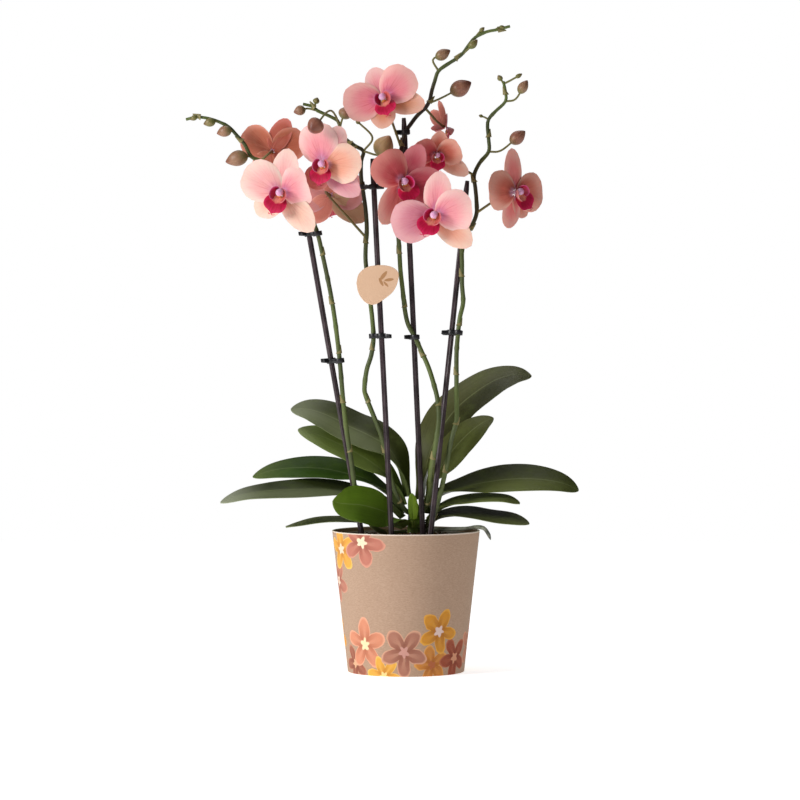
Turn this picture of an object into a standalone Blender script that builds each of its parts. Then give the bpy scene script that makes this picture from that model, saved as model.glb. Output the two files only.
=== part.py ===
"""Potted moth orchid: one plant with four flower spikes, tied to sticks, in a nursery pot
that stands inside a tapered sleeve pot.

The origin is the centre of the sleeve pot's foot, +Z is up and the plant's front is -Y.
Lengths below are in millimetres; heights in the plant's tables are above the pot's rim.
"""

import bisect
import math

import bmesh
import bpy
from mathutils import Matrix, Vector

MM = 0.001

# Driving dimensions
GAP = 0.4                    # clearance between two pieces that touch

POT_HEIGHT = 127.0
POT_RIM_RADIUS = 66.5
POT_FOOT_RADIUS = 52.5
POT_WALL = 1.6
POT_FLOOR = 2.0

NURSERY_WALL = 0.9
NURSERY_DROP = 5.0           # the nursery pot's rim lies this far below the sleeve pot's rim
NURSERY_SIDE_ROOM = 1.6      # room between the two pots at the nursery pot's rim
NURSERY_FOOT_ROOM = 3.5      # and at its foot
DRAIN_RADIUS = 4.0
DRAIN_COUNT = 5
DRAIN_CIRCLE = 0.62          # the drain holes' circle, as a share of the nursery pot's foot
DRAIN_OVERCUT = 2.0          # how far a drain hole's cutter stands out of the floor

BARK_DROP = 10.0             # the bark's edge lies this far below the rim
BARK_MOUND = 5.0             # and it rises this much towards the crown
BARK_LUMP = 0.8

CROWN_AT = (8.0, 4.0)
CROWN_RADIUS = 9.0
CROWN_TOP = 22.0
CROWN_DEPTH = 26.0

STICK_RADIUS = 2.5
STICK_DEPTH = 60.0           # how far a stick reaches below the rim
STEM_RADIUS = 2.2
STEM_TIP_RADIUS = 1.3
PEDICEL_RADIUS = 1.0
STEM_STEP = 13.0             # the length of a stem's straight runs

CLIP_HEIGHT = 4.5
CLIP_WALL = 1.5
LEVER_LENGTH = 4.0

LEAF_THICKNESS = 2.0
PETAL_THICKNESS = 0.9
SEPAL_WIDTH = 0.6            # as a share of the flower's radius
PETAL_WIDTH = 1.0
LOBE_LEAST = 2.6             # the least radius of a sheet of sepals, petals or lip lobes
SEPAL_CUP = 0.6              # how far the sepals cup, as a share of the petals' angle
JOINED_CUP = 0.7             # and how far a sheet of sepals and petals does
FLOWER_BACK = 2.6            # from the flower's centre to where its stalk ends
SEPAL_PLANE = -1.0           # the sepals' plane, behind the flower's centre
PETAL_PLANE = 0.5
LIP_PLANE = 2.3
LIP_CUP = 44
LIP_REACH = 0.42             # the lip's and the column's sizes, as shares of the flower's radius
LIP_SIDE_REACH = 0.23
COLUMN_LENGTH = 0.24
COLUMN_RADIUS = 2.2

LABEL_AT = 219.0             # the label's height on its stick, above the rim
LABEL_THICKNESS = 1.0
LABEL_STAND_OFF = 0.6        # room between the label's card and its stick, over the clearance
LABEL_RING_HEIGHT = 6.0
LABEL_RING_WALL = 1.2
LABEL_OUTLINE = ((-20, 3), (-18, 11), (-11, 17), (-1, 19), (10, 18), (17, 13), (17, 5), (13, -4),
                 (5, -11), (-4, -16), (-12, -14), (-18, -6))
ROOT_RADIUS = 2.0

# The four sticks: (x, y, height) at the top and where the stick enters the bark
STICKS = {
    "left_stick": ((-87, -32, 269), (-40, -24, 0)),
    "centre_left_stick": ((-30, -26, 333), (-13, -42, 0)),
    "centre_right_stick": ((-2, -14, 370), (15, -17, 0)),
    "right_stick": ((55, -8, 314), (22, -38, 0)),
}

# The flowers: where the parts of each meet, which way it faces (azimuth from the front towards
# the right, elevation), its radius and how far its petals cup forward. The headings, seen from its
# front, are those of its top sepal, right and left petal, right and left sepal and lip; the lengths
# of the first five are shares of the radius.
FLOWERS = {
    "flower_1": dict(at=(-110, -52, 301), azimuth=-16, elevation=-6, size=38, cup=12,
                     headings=(78, 22, 148, -49, -143, -112), lengths=(1.0, 0.68, 0.98, 1.1, 0.74)),
    "flower_2": dict(at=(-73, -52, 326), azimuth=-14, elevation=-4, size=36, cup=14,
                     headings=(62, 4, 100, -40, -118, -95), lengths=(1.0, 0.93, 1.0, 1.1, 0.6)),
    "flower_3": dict(at=(-20, -38, 385), azimuth=-6, elevation=4, size=35, cup=12,
                     headings=(109, 45, 187, -8, -92, -72), lengths=(0.8, 0.96, 0.98, 1.0, 0.7)),
    "flower_4": dict(at=(-3, -48, 311), azimuth=18, elevation=-6, size=36, cup=20,
                     headings=(66, -10, 138, -62, -118, -68), lengths=(0.95, 1.0, 0.92, 0.85, 1.1)),
    "flower_5": dict(at=(27, -24, 336), azimuth=12, elevation=-16, size=25, cup=30,
                     headings=(86, 20, 160, -28, -140, -88), lengths=(0.85, 0.78, 0.9, 1.2, 0.7)),
    "flower_6": dict(at=(25, -64, 281), azimuth=-10, elevation=-6, size=38, cup=12,
                     headings=(81, 14, 193, -39, -148, -119), lengths=(0.98, 0.88, 0.98, 1.05, 0.65)),
    "flower_7": dict(at=(97, -22, 303), azimuth=48, elevation=-4, size=36, cup=5,
                     headings=(100, 2, 176, -44, -100, -52), lengths=(1.05, 1.1, 0.98, 0.75, 0.85)),
    "flower_8": dict(at=(-120, -14, 340), azimuth=168, elevation=12, size=30, cup=22,
                     headings=(117, 30, 160, -50, -130, -63), lengths=(1.0, 1.0, 1.0, 0.85, 0.85)),
    "flower_9": dict(at=(-68, -6, 301), azimuth=160, elevation=-10, size=36, cup=12,
                     headings=(100, 8, 166, -50, -148, -80), lengths=(0.85, 0.8, 0.85, 0.8, 1.1)),
    "flower_10": dict(at=(35, -3, 362), azimuth=110, elevation=-35, size=22, cup=-45,
                      headings=(62, 26, 130, -25, -110, -88), lengths=(1.0, 1.0, 0.5, 0.5, 0.4)),
}
# Flowers whose sepals and petals share one node, so that the part stays within its node count
JOINED_FLOWERS = ("flower_8", "flower_9", "flower_10")

# Each spike: its route from the crown to its tip; its side branches, which end in a bud of
# (length, width) centred on the last point; and the flowers whose stalks start at these points.
SPIKES = {
    "left_spike": dict(
        route=[(-1, -6, -1.5), (-14, -16, -1.5), (-27, -25, 3), (-37, -31, 16), (-45, -32, 38),
               (-49, -33, 65), (-53, -34, 91), (-56, -35, 118), (-60, -36, 163), (-66, -37, 207),
               (-75, -38, 251), (-79, -37, 267), (-86, -33, 285), (-97, -27, 305), (-113, -22, 322),
               (-127, -22, 330), (-138, -22, 335), (-144, -22, 346), (-151, -24, 354),
               (-159, -25, 362), (-173, -26, 368), (-186, -26, 370), (-196, -24, 368)],
        buds=[((-138, -22, 335), (-144, -25, 335), (-151, -24, 333), 21, 14),
              ((-155, -25, 358), (-158, -28, 358), (-162, -27, 357), 14, 10),
              ((-168, -26, 366), (-171, -28, 366), (-175, -28, 365), 11, 8),
              ((-184, -26, 370), (-187, -28, 370), (-189, -28, 369), 7, 5)],
        stalks={"flower_1": (-97, -27, 305), "flower_8": (-130, -22, 331)},
    ),
    "centre_left_spike": dict(
        route=[(3.5, -4, 16), (-1, -9.5, 19), (-7, -14, 29), (-13, -17, 46), (-18, -20, 69),
               (-23, -25, 89), (-29, -27, 104), (-36, -28, 122), (-37, -28, 130), (-35, -28, 145),
               (-31, -28, 158), (-29, -28, 173), (-30, -27, 189), (-32, -26, 207), (-34, -26, 225),
               (-36, -25, 241), (-36, -24, 254), (-35, -23, 270), (-36, -21, 287), (-38, -20, 302),
               (-40, -20, 316), (-40, -20, 331), (-38, -20, 340), (-46, -20, 345), (-55, -20, 352),
               (-59, -20, 361), (-61, -20, 367), (-70, -20, 372), (-79, -20, 376), (-84, -20, 380),
               (-92, -20, 382)],
        buds=[((-38, -20, 340), (-24, -31, 336), (-19.5, -32, 344), 21, 17),
              ((-59, -20, 361), (-57, -23, 368), (-54, -23, 374), 12, 12),
              ((-55, -20, 352), (-66, -50, 374), (-80, -73, 359), 15, 15),
              ((-79, -20, 376), (-88, -20, 378), (-95, -21, 376), 11, 9),
              ((-82, -20, 378), (-81, -20, 382), (-80, -20, 385), 6, 6),
              ((-38, -20, 340), (-30, -24, 352), (-43, -24, 366), 5, 4)],
        stalks={"flower_2": (-44, -22, 344), "flower_9": (-35, -24, 262)},
    ),
    "centre_right_spike": dict(
        route=[(10, -4.5, 15), (14, -9, 17), (19, -15, 25), (22, -25, 39), (22, -35, 56),
               (26, -42, 78), (29, -42, 100), (28, -40, 118), (25, -36, 131), (20, -30, 147),
               (13, -24, 163), (8, -22, 174), (2, -21, 185), (-1, -20, 198), (-3, -20, 216),
               (-5, -20, 234), (-6, -20, 252), (-7, -20, 268), (-7, -20, 283), (-6, -20, 301),
               (-5, -20, 324), (-4, -20, 342), (-1, -19, 356), (4, -17, 364), (10, -14, 372),
               (17, -12, 379), (21, -12, 385), (23, -12, 394), (26, -12, 404), (29, -12, 412),
               (37, -12, 418), (45, -12, 423), (51, -12, 428), (56, -12, 435), (62, -12, 442),
               (72, -12, 447), (82, -12, 449), (93, -12, 452)],
        buds=[((20, -12, 383), (32, -14, 388), (49, -14, 397), 21, 15),
              ((29, -12, 412), (24, -12, 422), (33, -12, 427), 15, 10),
              ((48, -12, 425), (54, -13, 430), (60, -14, 436), 11, 7),
              ((62, -12, 442), (65, -12, 446), (68, -12, 449), 6, 4),
              ((80, -12, 449), (83, -12, 451), (86, -12, 451), 6, 4)],
        stalks={"flower_3": (-4, -20, 342), "flower_4": (-6, -20, 300), "flower_6": (-7, -20, 268),
                "flower_10": (17, -12, 379)},
    ),
    "right_spike": dict(
        route=[(12.5, -5, 3), (18, -12, 4.5), (25, -18, 14), (30, -21, 32), (36, -24, 58),
               (40, -27, 81), (45, -28, 100), (45, -28, 118), (45, -28, 136), (45, -27, 158),
               (46, -25, 173), (48, -23, 191), (51, -21, 205), (50, -22, 221), (50, -22, 239),
               (50, -21, 252), (53, -20, 263), (58, -18, 272), (63, -15, 284), (63, -13, 297),
               (62, -12, 308), (61, -10, 319), (66, -10, 330), (74, -10, 340), (74, -10, 351),
               (73, -10, 362), (74, -10, 369), (80, -10, 376), (89, -10, 385), (89, -10, 394),
               (87, -10, 403)],
        buds=[((74, -10, 340), (85, -11, 341), (100, -12, 353), 17, 12),
              ((89, -10, 385), (98, -10, 387), (105, -10, 398), 14, 9),
              ((74, -10, 369), (70, -10, 371), (67, -10, 372), 4, 3),
              ((88, -10, 400), (86, -10, 403), (84, -10, 406), 6, 5),
              ((88, -10, 401), (94, -10, 404), (101, -10, 408), 7, 4)],
        stalks={"flower_5": (61, -10, 319), "flower_7": (63, -15, 285)},
    ),
}

# The clips: stick, spike, the height where the clip sits and the side its lever points to
CLIPS = {
    "left_upper_clip": ("left_stick", "left_spike", 266, 200),
    "left_lower_clip": ("left_stick", "left_spike", 153, 200),
    "centre_left_upper_clip": ("centre_left_stick", "centre_left_spike", 308, -10),
    "centre_left_lower_clip": ("centre_left_stick", "centre_left_spike", 175, -10),
    "centre_right_upper_clip": ("centre_right_stick", "centre_right_spike", 357, 180),
    "centre_right_lower_clip": ("centre_right_stick", "centre_right_spike", 174, 180),
    "right_clip": ("right_stick", "right_spike", 178, 170),
}

# The leaves: the centre line from base to tip, the widest width, and how far the blade turns its
# top from facing up towards facing the front. They stand in two rows, left and right of the crown;
# inward is the heading from any other leaf's base to the crown.
LEAVES = {
    "leaf_left_upper": dict(width=46, roll=33, route=[
        (0, 5, 30), (-3, 7, 46), (-8, 11, 61), (-17, 17, 74), (-33, 22, 84), (-51, 28, 92), (-69, 33, 101),
        (-87, 37, 107), (-105, 39, 108)]),
    "leaf_left_second": dict(width=38, roll=30, route=[
        (-3, 5, 22), (-8, 6, 37), (-17, 8, 49), (-31, 12, 60), (-46, 16, 69), (-62, 19, 77), (-78, 21, 84),
        (-98, 22, 90)]),
    "leaf_left_middle": dict(width=42, roll=24, route=[
        (-4, 4, 16.5), (-13, 4, 30), (-25, 4, 39), (-40, 6, 47), (-55, 10, 50.5), (-73, 14, 54),
        (-96, 18, 55), (-118, 21, 53), (-139, 22, 47)]),
    "leaf_left_long": dict(width=44, roll=18, route=[
        (-4, 3, 11), (-19, 1, 25), (-34, -1, 30), (-55, -5, 35), (-77, -12, 37), (-100, -19, 37),
        (-122, -22, 36), (-144, -22, 33), (-166, -22, 26)]),
    "leaf_front": dict(width=38, roll=64, inward=50, route=[
        (-1.5, -6, 4), (-9, -14, 9.5), (-18, -24, 17), (-30, -36, 22), (-41, -45, 25), (-51, -51, 26),
        (-59, -54, 27), (-65, -56, 29)]),
    "leaf_left_low": dict(width=28, roll=8, route=[
        (-3, 7, 2), (-14, 9, 5), (-33, 12, 7), (-55, 14, 8), (-82, 16, 7), (-109, 17, 2)]),
    "leaf_right_upper": dict(width=46, roll=31, route=[
        (15, 12, 29), (17, 19, 44), (20, 26, 61), (26, 32, 79), (35, 37, 94), (47, 41, 109), (64, 45, 123),
        (82, 48, 134), (100, 50, 139), (115, 51, 138)]),
    "leaf_right_second": dict(width=34, roll=32, route=[
        (19, 2, 22), (22, -1, 38), (28, -2, 50), (36, -1, 63), (46, 1, 76), (58, 3, 88), (69, 5, 96),
        (79, 6, 101)]),
    "leaf_right_long": dict(width=46, roll=28, route=[
        (20, 4, 15), (25, 3, 27), (35, 2, 34), (50, 1, 38), (68, 0, 42), (87, -2, 45), (106, -4, 46),
        (125, -6, 45), (141, -8, 42), (155, -9, 36)]),
    "leaf_right_small": dict(width=30, roll=14, route=[
        (20, 0, 8), (28, -3, 18), (40, -5, 24), (56, -9, 27), (73, -13, 29), (89, -16, 29), (102, -18, 25)]),
    "leaf_right_low": dict(width=36, roll=16, route=[
        (19, 3, 3), (28, 1, 11), (41, -1, 14), (59, -2, 14), (77, -3, 12), (95, -4, 10), (111, -5, 6)]),
    "young_leaf": dict(width=9, roll=80, inward=85, route=[
        (6.5, -8, 3), (6.5, -9.5, 14), (6, -11, 25), (5, -14, 34)]),
}


# Scene, materials and small helpers

def clear_scene():
    for obj in list(bpy.data.objects):
        bpy.data.objects.remove(obj)


def new_collection(name):
    collection = bpy.data.collections.new(name)
    bpy.context.scene.collection.children.link(collection)
    return collection


def new_material(name, colour, roughness):
    material = bpy.data.materials.new(name)
    material.use_nodes = True
    shader = material.node_tree.nodes["Principled BSDF"]
    shader.inputs["Base Color"].default_value = (*colour, 1.0)
    shader.inputs["Roughness"].default_value = roughness
    shader.inputs["Metallic"].default_value = 0.0
    return material


def place(point):
    """A point of the plant's tables, in metres: heights there are above the pot's rim."""
    x, y, height = point
    return Vector((x, y, POT_HEIGHT + height)) * MM


def object_from(bm, name, collection):
    mesh = bpy.data.meshes.new(name)
    bm.to_mesh(mesh)
    bm.free()
    obj = bpy.data.objects.new(name, mesh)
    collection.objects.link(obj)
    return obj


def as_helper(obj):
    obj.hide_render = True
    obj.display_type = "WIRE"


def finish(obj, material, smooth_angle=40):
    obj.data.materials.clear()
    obj.data.materials.append(material)
    obj.data.shade_smooth()
    obj.data.set_sharp_from_angle(angle=math.radians(smooth_angle))
    return obj


def boolean(obj, other, operation):
    modifier = obj.modifiers.new(operation.title(), "BOOLEAN")
    modifier.operation = operation
    modifier.solver = "EXACT"
    if isinstance(other, bpy.types.Collection):
        modifier.operand_type = "COLLECTION"
        modifier.collection = other
    else:
        modifier.object = other
        as_helper(other)
    return modifier


def turned(name, profile, steps, collection):
    """A turned solid from a profile of (radius, height) in millimetres, which runs down its outer side."""
    bm = bmesh.new()
    verts = [bm.verts.new((radius * MM, 0, height * MM)) for radius, height in profile]
    for first, second in zip(verts, verts[1:]):
        bm.edges.new((first, second))
    obj = object_from(bm, name, collection)
    screw = obj.modifiers.new("Screw", "SCREW")
    screw.steps = steps
    screw.render_steps = steps
    screw.use_merge_vertices = True
    screw.merge_threshold = 1e-5
    return obj


def smooth_route(points, step):
    """Points along a Catmull-Rom curve through the given ones, about a step apart."""
    padded = [points[0] * 2 - points[1], *points, points[-1] * 2 - points[-2]]
    route = []
    for a, b, c, d in zip(padded, padded[1:], padded[2:], padded[3:]):
        count = max(1, round((c - b).length / step))
        for i in range(count):
            t = i / count
            route.append(0.5 * (2 * b + (c - a) * t + (2 * a - 5 * b + 4 * c - d) * t**2
                                + (3 * b - a - 3 * c + d) * t**3))
    return [*route, points[-1].copy()]


def tube(name, points, radii, collection, resolution=1):
    """A closed round tube along the points, as a mesh; radii gives the radius at both ends."""
    curve = bpy.data.curves.new(name, "CURVE")
    curve.dimensions = "3D"
    curve.bevel_depth = MM
    curve.bevel_resolution = resolution
    curve.use_fill_caps = True
    spline = curve.splines.new("POLY")
    spline.points.add(len(points) - 1)
    for i, point in enumerate(points):
        share = i / (len(points) - 1)
        spline.points[i].co = (*point, 1)
        spline.points[i].radius = radii[0] + (radii[1] - radii[0]) * share
    guide = bpy.data.objects.new(name, curve)
    collection.objects.link(guide)
    bpy.context.view_layer.update()
    graph = bpy.context.evaluated_depsgraph_get()
    mesh = bpy.data.meshes.new_from_object(guide.evaluated_get(graph))
    matrix = guide.matrix_world.copy()
    bpy.data.objects.remove(guide)
    bm = bmesh.new()
    bm.from_mesh(mesh)
    bmesh.ops.remove_doubles(bm, verts=bm.verts, dist=1e-6)
    bm.to_mesh(mesh)
    bm.free()
    mesh.name = name
    obj = bpy.data.objects.new(name, mesh)
    obj.matrix_world = matrix
    collection.objects.link(obj)
    return obj


def ellipsoid(name, centre, direction, length, width, collection):
    bm = bmesh.new()
    bmesh.ops.create_uvsphere(bm, u_segments=7, v_segments=5, radius=0.5 * MM)
    turn = direction.to_track_quat("Z", "Y").to_matrix().to_4x4()
    scale = Matrix.Diagonal((width, width, length, 1))
    bm.transform(Matrix.Translation(centre) @ turn @ scale)
    return object_from(bm, name, collection)


def cylinder(name, start, end, radius, sides, collection, start_radius=None):
    """A closed cylinder or cone between two points in metres; the radii are in millimetres."""
    axis = end - start
    bm = bmesh.new()
    bmesh.ops.create_cone(bm, cap_ends=True, segments=sides, radius1=(start_radius or radius) * MM,
                          radius2=radius * MM, depth=axis.length)
    turn = axis.to_track_quat("Z", "Y").to_matrix().to_4x4()
    bm.transform(Matrix.Translation((start + end) / 2) @ turn)
    return object_from(bm, name, collection)


# Pots and bark

def nursery_sizes():
    """The nursery pot's outer rim and foot radii, and its foot and rim heights."""
    rim_height = POT_HEIGHT - NURSERY_DROP
    foot_height = POT_FLOOR + GAP
    taper = (POT_RIM_RADIUS - POT_FOOT_RADIUS) / POT_HEIGHT
    rim_radius = POT_RIM_RADIUS - taper * NURSERY_DROP - POT_WALL - NURSERY_SIDE_ROOM
    foot_radius = POT_FOOT_RADIUS - POT_WALL - NURSERY_FOOT_ROOM
    return rim_radius, foot_radius, foot_height, rim_height


def make_outer_pot(collection, material):
    taper = (POT_RIM_RADIUS - POT_FOOT_RADIUS) / POT_HEIGHT
    profile = [
        (0, POT_FLOOR),
        (POT_FOOT_RADIUS + taper * POT_FLOOR - POT_WALL, POT_FLOOR),
        (POT_RIM_RADIUS - POT_WALL, POT_HEIGHT),
        (POT_RIM_RADIUS, POT_HEIGHT),
        (POT_FOOT_RADIUS, 0),
        (0, 0),
    ]
    return finish(turned("outer_pot", profile, 40, collection), material)


def make_nursery_pot(collection, helpers, material):
    rim_radius, foot_radius, foot_height, rim_height = nursery_sizes()
    profile = [
        (0, foot_height + NURSERY_WALL),
        (foot_radius - NURSERY_WALL, foot_height + NURSERY_WALL),
        (rim_radius - NURSERY_WALL, rim_height),
        (rim_radius, rim_height),
        (foot_radius, foot_height),
        (0, foot_height),
    ]
    pot = turned("nursery_pot", profile, 32, collection)
    for i in range(DRAIN_COUNT):
        angle = 2 * math.pi * i / DRAIN_COUNT
        centre = Vector((math.cos(angle), math.sin(angle), 0)) * DRAIN_CIRCLE * foot_radius * MM
        low = centre + Vector((0, 0, (foot_height - DRAIN_OVERCUT) * MM))
        high = centre + Vector((0, 0, (foot_height + NURSERY_WALL + DRAIN_OVERCUT) * MM))
        boolean(pot, cylinder(f"drain_{i}", low, high, DRAIN_RADIUS, 10, helpers), "DIFFERENCE")
    return finish(pot, material)


def stick_line(name):
    top, entry = (place(point) for point in STICKS[name])
    down = (entry - top).normalized()
    foot = entry + down * (STICK_DEPTH * MM / -down.z)
    return top, foot


def make_bark(collection, helpers, material):
    rim_radius, foot_radius, foot_height, rim_height = nursery_sizes()
    bark_floor = foot_height + NURSERY_WALL + GAP
    edge_height = POT_HEIGHT - BARK_DROP
    slope = (rim_radius - foot_radius) / (rim_height - foot_height)

    def inside(height):
        return foot_radius + slope * (height - foot_height) - NURSERY_WALL - GAP

    edge = inside(edge_height)
    rings = [0.0, 0.3, 0.6, 0.85, 1.0]
    top = [(edge * share, edge_height + BARK_MOUND * (1 - share**2)) for share in rings]
    profile = [*top, (inside(bark_floor), bark_floor), (0, bark_floor)]
    bark = turned("bark_medium", profile, 24, collection)
    bpy.context.view_layer.update()
    graph = bpy.context.evaluated_depsgraph_get()
    mesh = bpy.data.meshes.new_from_object(bark.evaluated_get(graph))
    bark.modifiers.clear()
    bark.data = mesh
    for vert in mesh.vertices:
        radius = math.hypot(vert.co.x, vert.co.y) / MM
        if vert.co.z > (edge_height + 0.01) * MM and radius < edge * 0.98:
            wave = math.sin(vert.co.x * 310) * math.cos(vert.co.y * 270 + 1)
            vert.co.z += wave * BARK_LUMP * MM
    for name in STICKS:
        top_point, foot = stick_line(name)
        below = foot + (foot - top_point).normalized() * GAP * MM
        hole = cylinder(f"{name}_hole", top_point, below, STICK_RADIUS + GAP, 12, helpers)
        boolean(bark, hole, "DIFFERENCE")
    x, y = CROWN_AT
    low = Vector((x, y, POT_HEIGHT - CROWN_DEPTH - GAP)) * MM
    high = Vector((x, y, POT_HEIGHT + CROWN_TOP)) * MM
    boolean(bark, cylinder("crown_hole", low, high, CROWN_RADIUS + GAP, 16, helpers), "DIFFERENCE")
    return finish(bark, material, 60)


# The plant

def make_crown(collection, material):
    profile = [
        (0, CROWN_TOP),
        (CROWN_RADIUS * 0.55, CROWN_TOP - 1),
        (CROWN_RADIUS * 0.8, CROWN_TOP * 0.6),
        (CROWN_RADIUS, 0),
        (CROWN_RADIUS * 0.9, -CROWN_DEPTH * 0.6),
        (CROWN_RADIUS * 0.5, -CROWN_DEPTH),
        (0, -CROWN_DEPTH),
    ]
    crown = turned("crown", profile, 16, collection)
    x, y = CROWN_AT
    crown.location = Vector((x, y, POT_HEIGHT)) * MM
    return finish(crown, material)


def leaf_width(share):
    """The blade's half width along its length, as a share of its widest."""
    grow = min(1.0, share / 0.55)
    width = 0.40 + 0.60 * (3 * grow**2 - 2 * grow**3)
    if share > 0.6:
        width *= max(0.0, 1 - ((share - 0.6) / 0.4) ** 2.4) ** 0.62
    return max(width, 0.05)


def leaf_sections(leaf, count=40):
    """Sections along the blade, from base to tip: (centre, direction across, direction out of its top)."""
    route = smooth_route([place(point) for point in leaf["route"]], 2 * MM)
    inward = math.radians(leaf.get("inward", 0 if leaf["route"][0][0] < CROWN_AT[0] else 180))
    upright = Vector((math.cos(inward) * 0.8, math.sin(inward) * 0.8, 0.6))
    roll = math.radians(leaf["roll"])
    rolled = Vector((0, -math.sin(roll), math.cos(roll)))
    lengths = [0.0]
    for before, after in zip(route, route[1:]):
        lengths.append(lengths[-1] + (after - before).length)
    sections = []
    for i in range(count + 1):
        share = i / count
        index = min(bisect.bisect_left(lengths, share * lengths[-1]), len(route) - 1)
        before, after = route[max(index - 1, 0)], route[min(index + 1, len(route) - 1)]
        along = (after - before).normalized()
        blend = min(1.0, share / 0.45)
        facing_way = upright.lerp(rolled, blend**2 * (3 - 2 * blend))
        side = facing_way.cross(along).normalized()
        sections.append((route[index], side, along.cross(side)))
    return sections


def leaf_point(leaf, sections, share, across):
    """A point of the blade: share runs from base to tip, across from -1 to 1."""
    centre, side, up = sections[round(share * (len(sections) - 1))]
    half = leaf["width"] / 2 * leaf_width(share)
    fold = 0.45 * (1 - share) ** 3 + 0.06
    return centre + (side * across * half + up * abs(across) ** 1.5 * half * fold) * MM


def make_leaf(name, leaf, collection, material):
    lengthwise, crosswise = 7, 4
    bm = bmesh.new()
    bmesh.ops.create_grid(bm, x_segments=lengthwise, y_segments=crosswise, size=1)
    sections = leaf_sections(leaf)
    for vert in bm.verts:
        share = (vert.co.x + 1) / 2
        share *= 1.25 - 0.25 * share
        vert.co = leaf_point(leaf, sections, share, vert.co.y)
    obj = object_from(bm, name, collection)
    solidify = obj.modifiers.new("Solidify", "SOLIDIFY")
    solidify.thickness = LEAF_THICKNESS * MM
    solidify.offset = 0
    return finish(obj, material, 60)


def make_root(collection, material):
    """An aerial root that leaves the crown, lies over the bark and hangs over the rim."""
    x, y = CROWN_AT
    start = CROWN_RADIUS + GAP + 0.5
    over = ROOT_RADIUS + GAP + 0.6
    points = [
        (x + start, y - 4, -1.5 + ROOT_RADIUS),
        (x + start + 14, y - 9, -1 + ROOT_RADIUS),
        (POT_RIM_RADIUS - 14, -10, over - 1),
        (POT_RIM_RADIUS - 4, -11, over + 0.4),
        (POT_RIM_RADIUS + 3, -11, over - 0.4),
        (POT_RIM_RADIUS + 7, -11, over - 5),
        (POT_RIM_RADIUS + 9.5, -11, over - 11),
    ]
    route = smooth_route([place(point) for point in points], 7 * MM)
    return finish(tube("aerial_root", route, (ROOT_RADIUS, ROOT_RADIUS * 0.8), collection), material)


def facing(flower):
    """The flower's matrix: +Z out of its face, +Y up."""
    azimuth, elevation = math.radians(flower["azimuth"]), math.radians(flower["elevation"])
    out = Vector((math.sin(azimuth) * math.cos(elevation), -math.cos(azimuth) * math.cos(elevation),
                  math.sin(elevation)))
    right = Vector((0, 0, 1)).cross(out).normalized()
    up = out.cross(right)
    return Matrix.Translation(place(flower["at"])) @ Matrix((right, up, out)).transposed().to_4x4()


def lobe_radius(angle, lobes):
    """The radius of an outline of elliptic lobes that meet at the centre, at an angle in degrees."""
    radius = LOBE_LEAST
    for heading, length, width in lobes:
        away = math.radians((angle - heading + 180) % 360 - 180)
        if math.cos(away) <= 0:
            continue
        ratio = (length / width) ** 2
        radius = max(radius, length * math.cos(away) / (math.cos(away) ** 2 + ratio * math.sin(away) ** 2))
    return radius


def lobe_sheet(name, lobes, plane, cup, matrix, collection, segments, rings=2):
    """A thin sheet of lobes that cups forward by an angle: each is (heading, length, width)."""
    bm = bmesh.new()
    bmesh.ops.create_grid(bm, x_segments=segments, y_segments=rings, size=1)
    for vert in bm.verts:
        angle = (vert.co.x + 1) * 180
        share = (vert.co.y + 1) / 2
        radius = lobe_radius(angle, lobes) * share
        height = plane + math.tan(math.radians(cup)) * radius
        turn = math.radians(angle)
        vert.co = matrix @ (Vector((radius * math.cos(turn), radius * math.sin(turn), height)) * MM)
    bmesh.ops.remove_doubles(bm, verts=bm.verts, dist=1e-6)
    bmesh.ops.recalc_face_normals(bm, faces=bm.faces)
    obj = object_from(bm, name, collection)
    solidify = obj.modifiers.new("Solidify", "SOLIDIFY")
    solidify.thickness = PETAL_THICKNESS * MM
    solidify.offset = 0
    return obj


def make_flower(name, flower, collection, helpers, materials):
    matrix = facing(flower)
    size, cup = flower["size"], flower["cup"]
    *headings, down = flower["headings"]
    widths = (SEPAL_WIDTH, PETAL_WIDTH, PETAL_WIDTH, SEPAL_WIDTH, SEPAL_WIDTH)
    lobes = [(heading, size * length, size * width)
             for heading, length, width in zip(headings, flower["lengths"], widths)]
    petals, sepals = lobes[1:3], [lobes[0], *lobes[3:]]
    if name in JOINED_FLOWERS:
        sheet = lobe_sheet(f"{name}_tepals", lobes, PETAL_PLANE, cup * JOINED_CUP, matrix, collection, 30)
        finish(sheet, materials["petal"], 60)
    else:
        sheet = lobe_sheet(f"{name}_sepals", sepals, SEPAL_PLANE, cup * SEPAL_CUP, matrix, collection, 22)
        finish(sheet, materials["petal"], 60)
        sheet = lobe_sheet(f"{name}_petals", petals, PETAL_PLANE, cup, matrix, collection, 20)
        finish(sheet, materials["petal"], 60)
    reach, side_reach = size * LIP_REACH, size * LIP_SIDE_REACH
    lobes = [(down, reach, reach * 0.8), (down + 115, side_reach, side_reach * 0.9),
             (down - 115, side_reach, side_reach * 0.9)]
    lip = lobe_sheet(f"{name}_lip", lobes, LIP_PLANE, LIP_CUP, matrix, collection, 14, 1)
    foot = matrix @ (Vector((0, 0, LIP_PLANE)) * MM)
    tip = matrix @ (Vector((0, 0, LIP_PLANE + COLUMN_LENGTH * size)) * MM)
    column = cylinder(f"{name}_column", foot, tip, COLUMN_RADIUS, 8, helpers, COLUMN_RADIUS * 0.35)
    boolean(lip, column, "UNION")
    finish(lip, materials["lip"], 60)


def stalk_route(start, flower):
    """A flower stalk: it leaves the spike at start and comes to the flower's back."""
    matrix = facing(flower)
    end = matrix @ (Vector((0, 0, -FLOWER_BACK)) * MM)
    behind = matrix @ (Vector((0, 0, -FLOWER_BACK - 7)) * MM)
    start = place(start)
    return smooth_route([start, (start * 0.55 + behind * 0.45), behind, end], 6 * MM)


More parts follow.
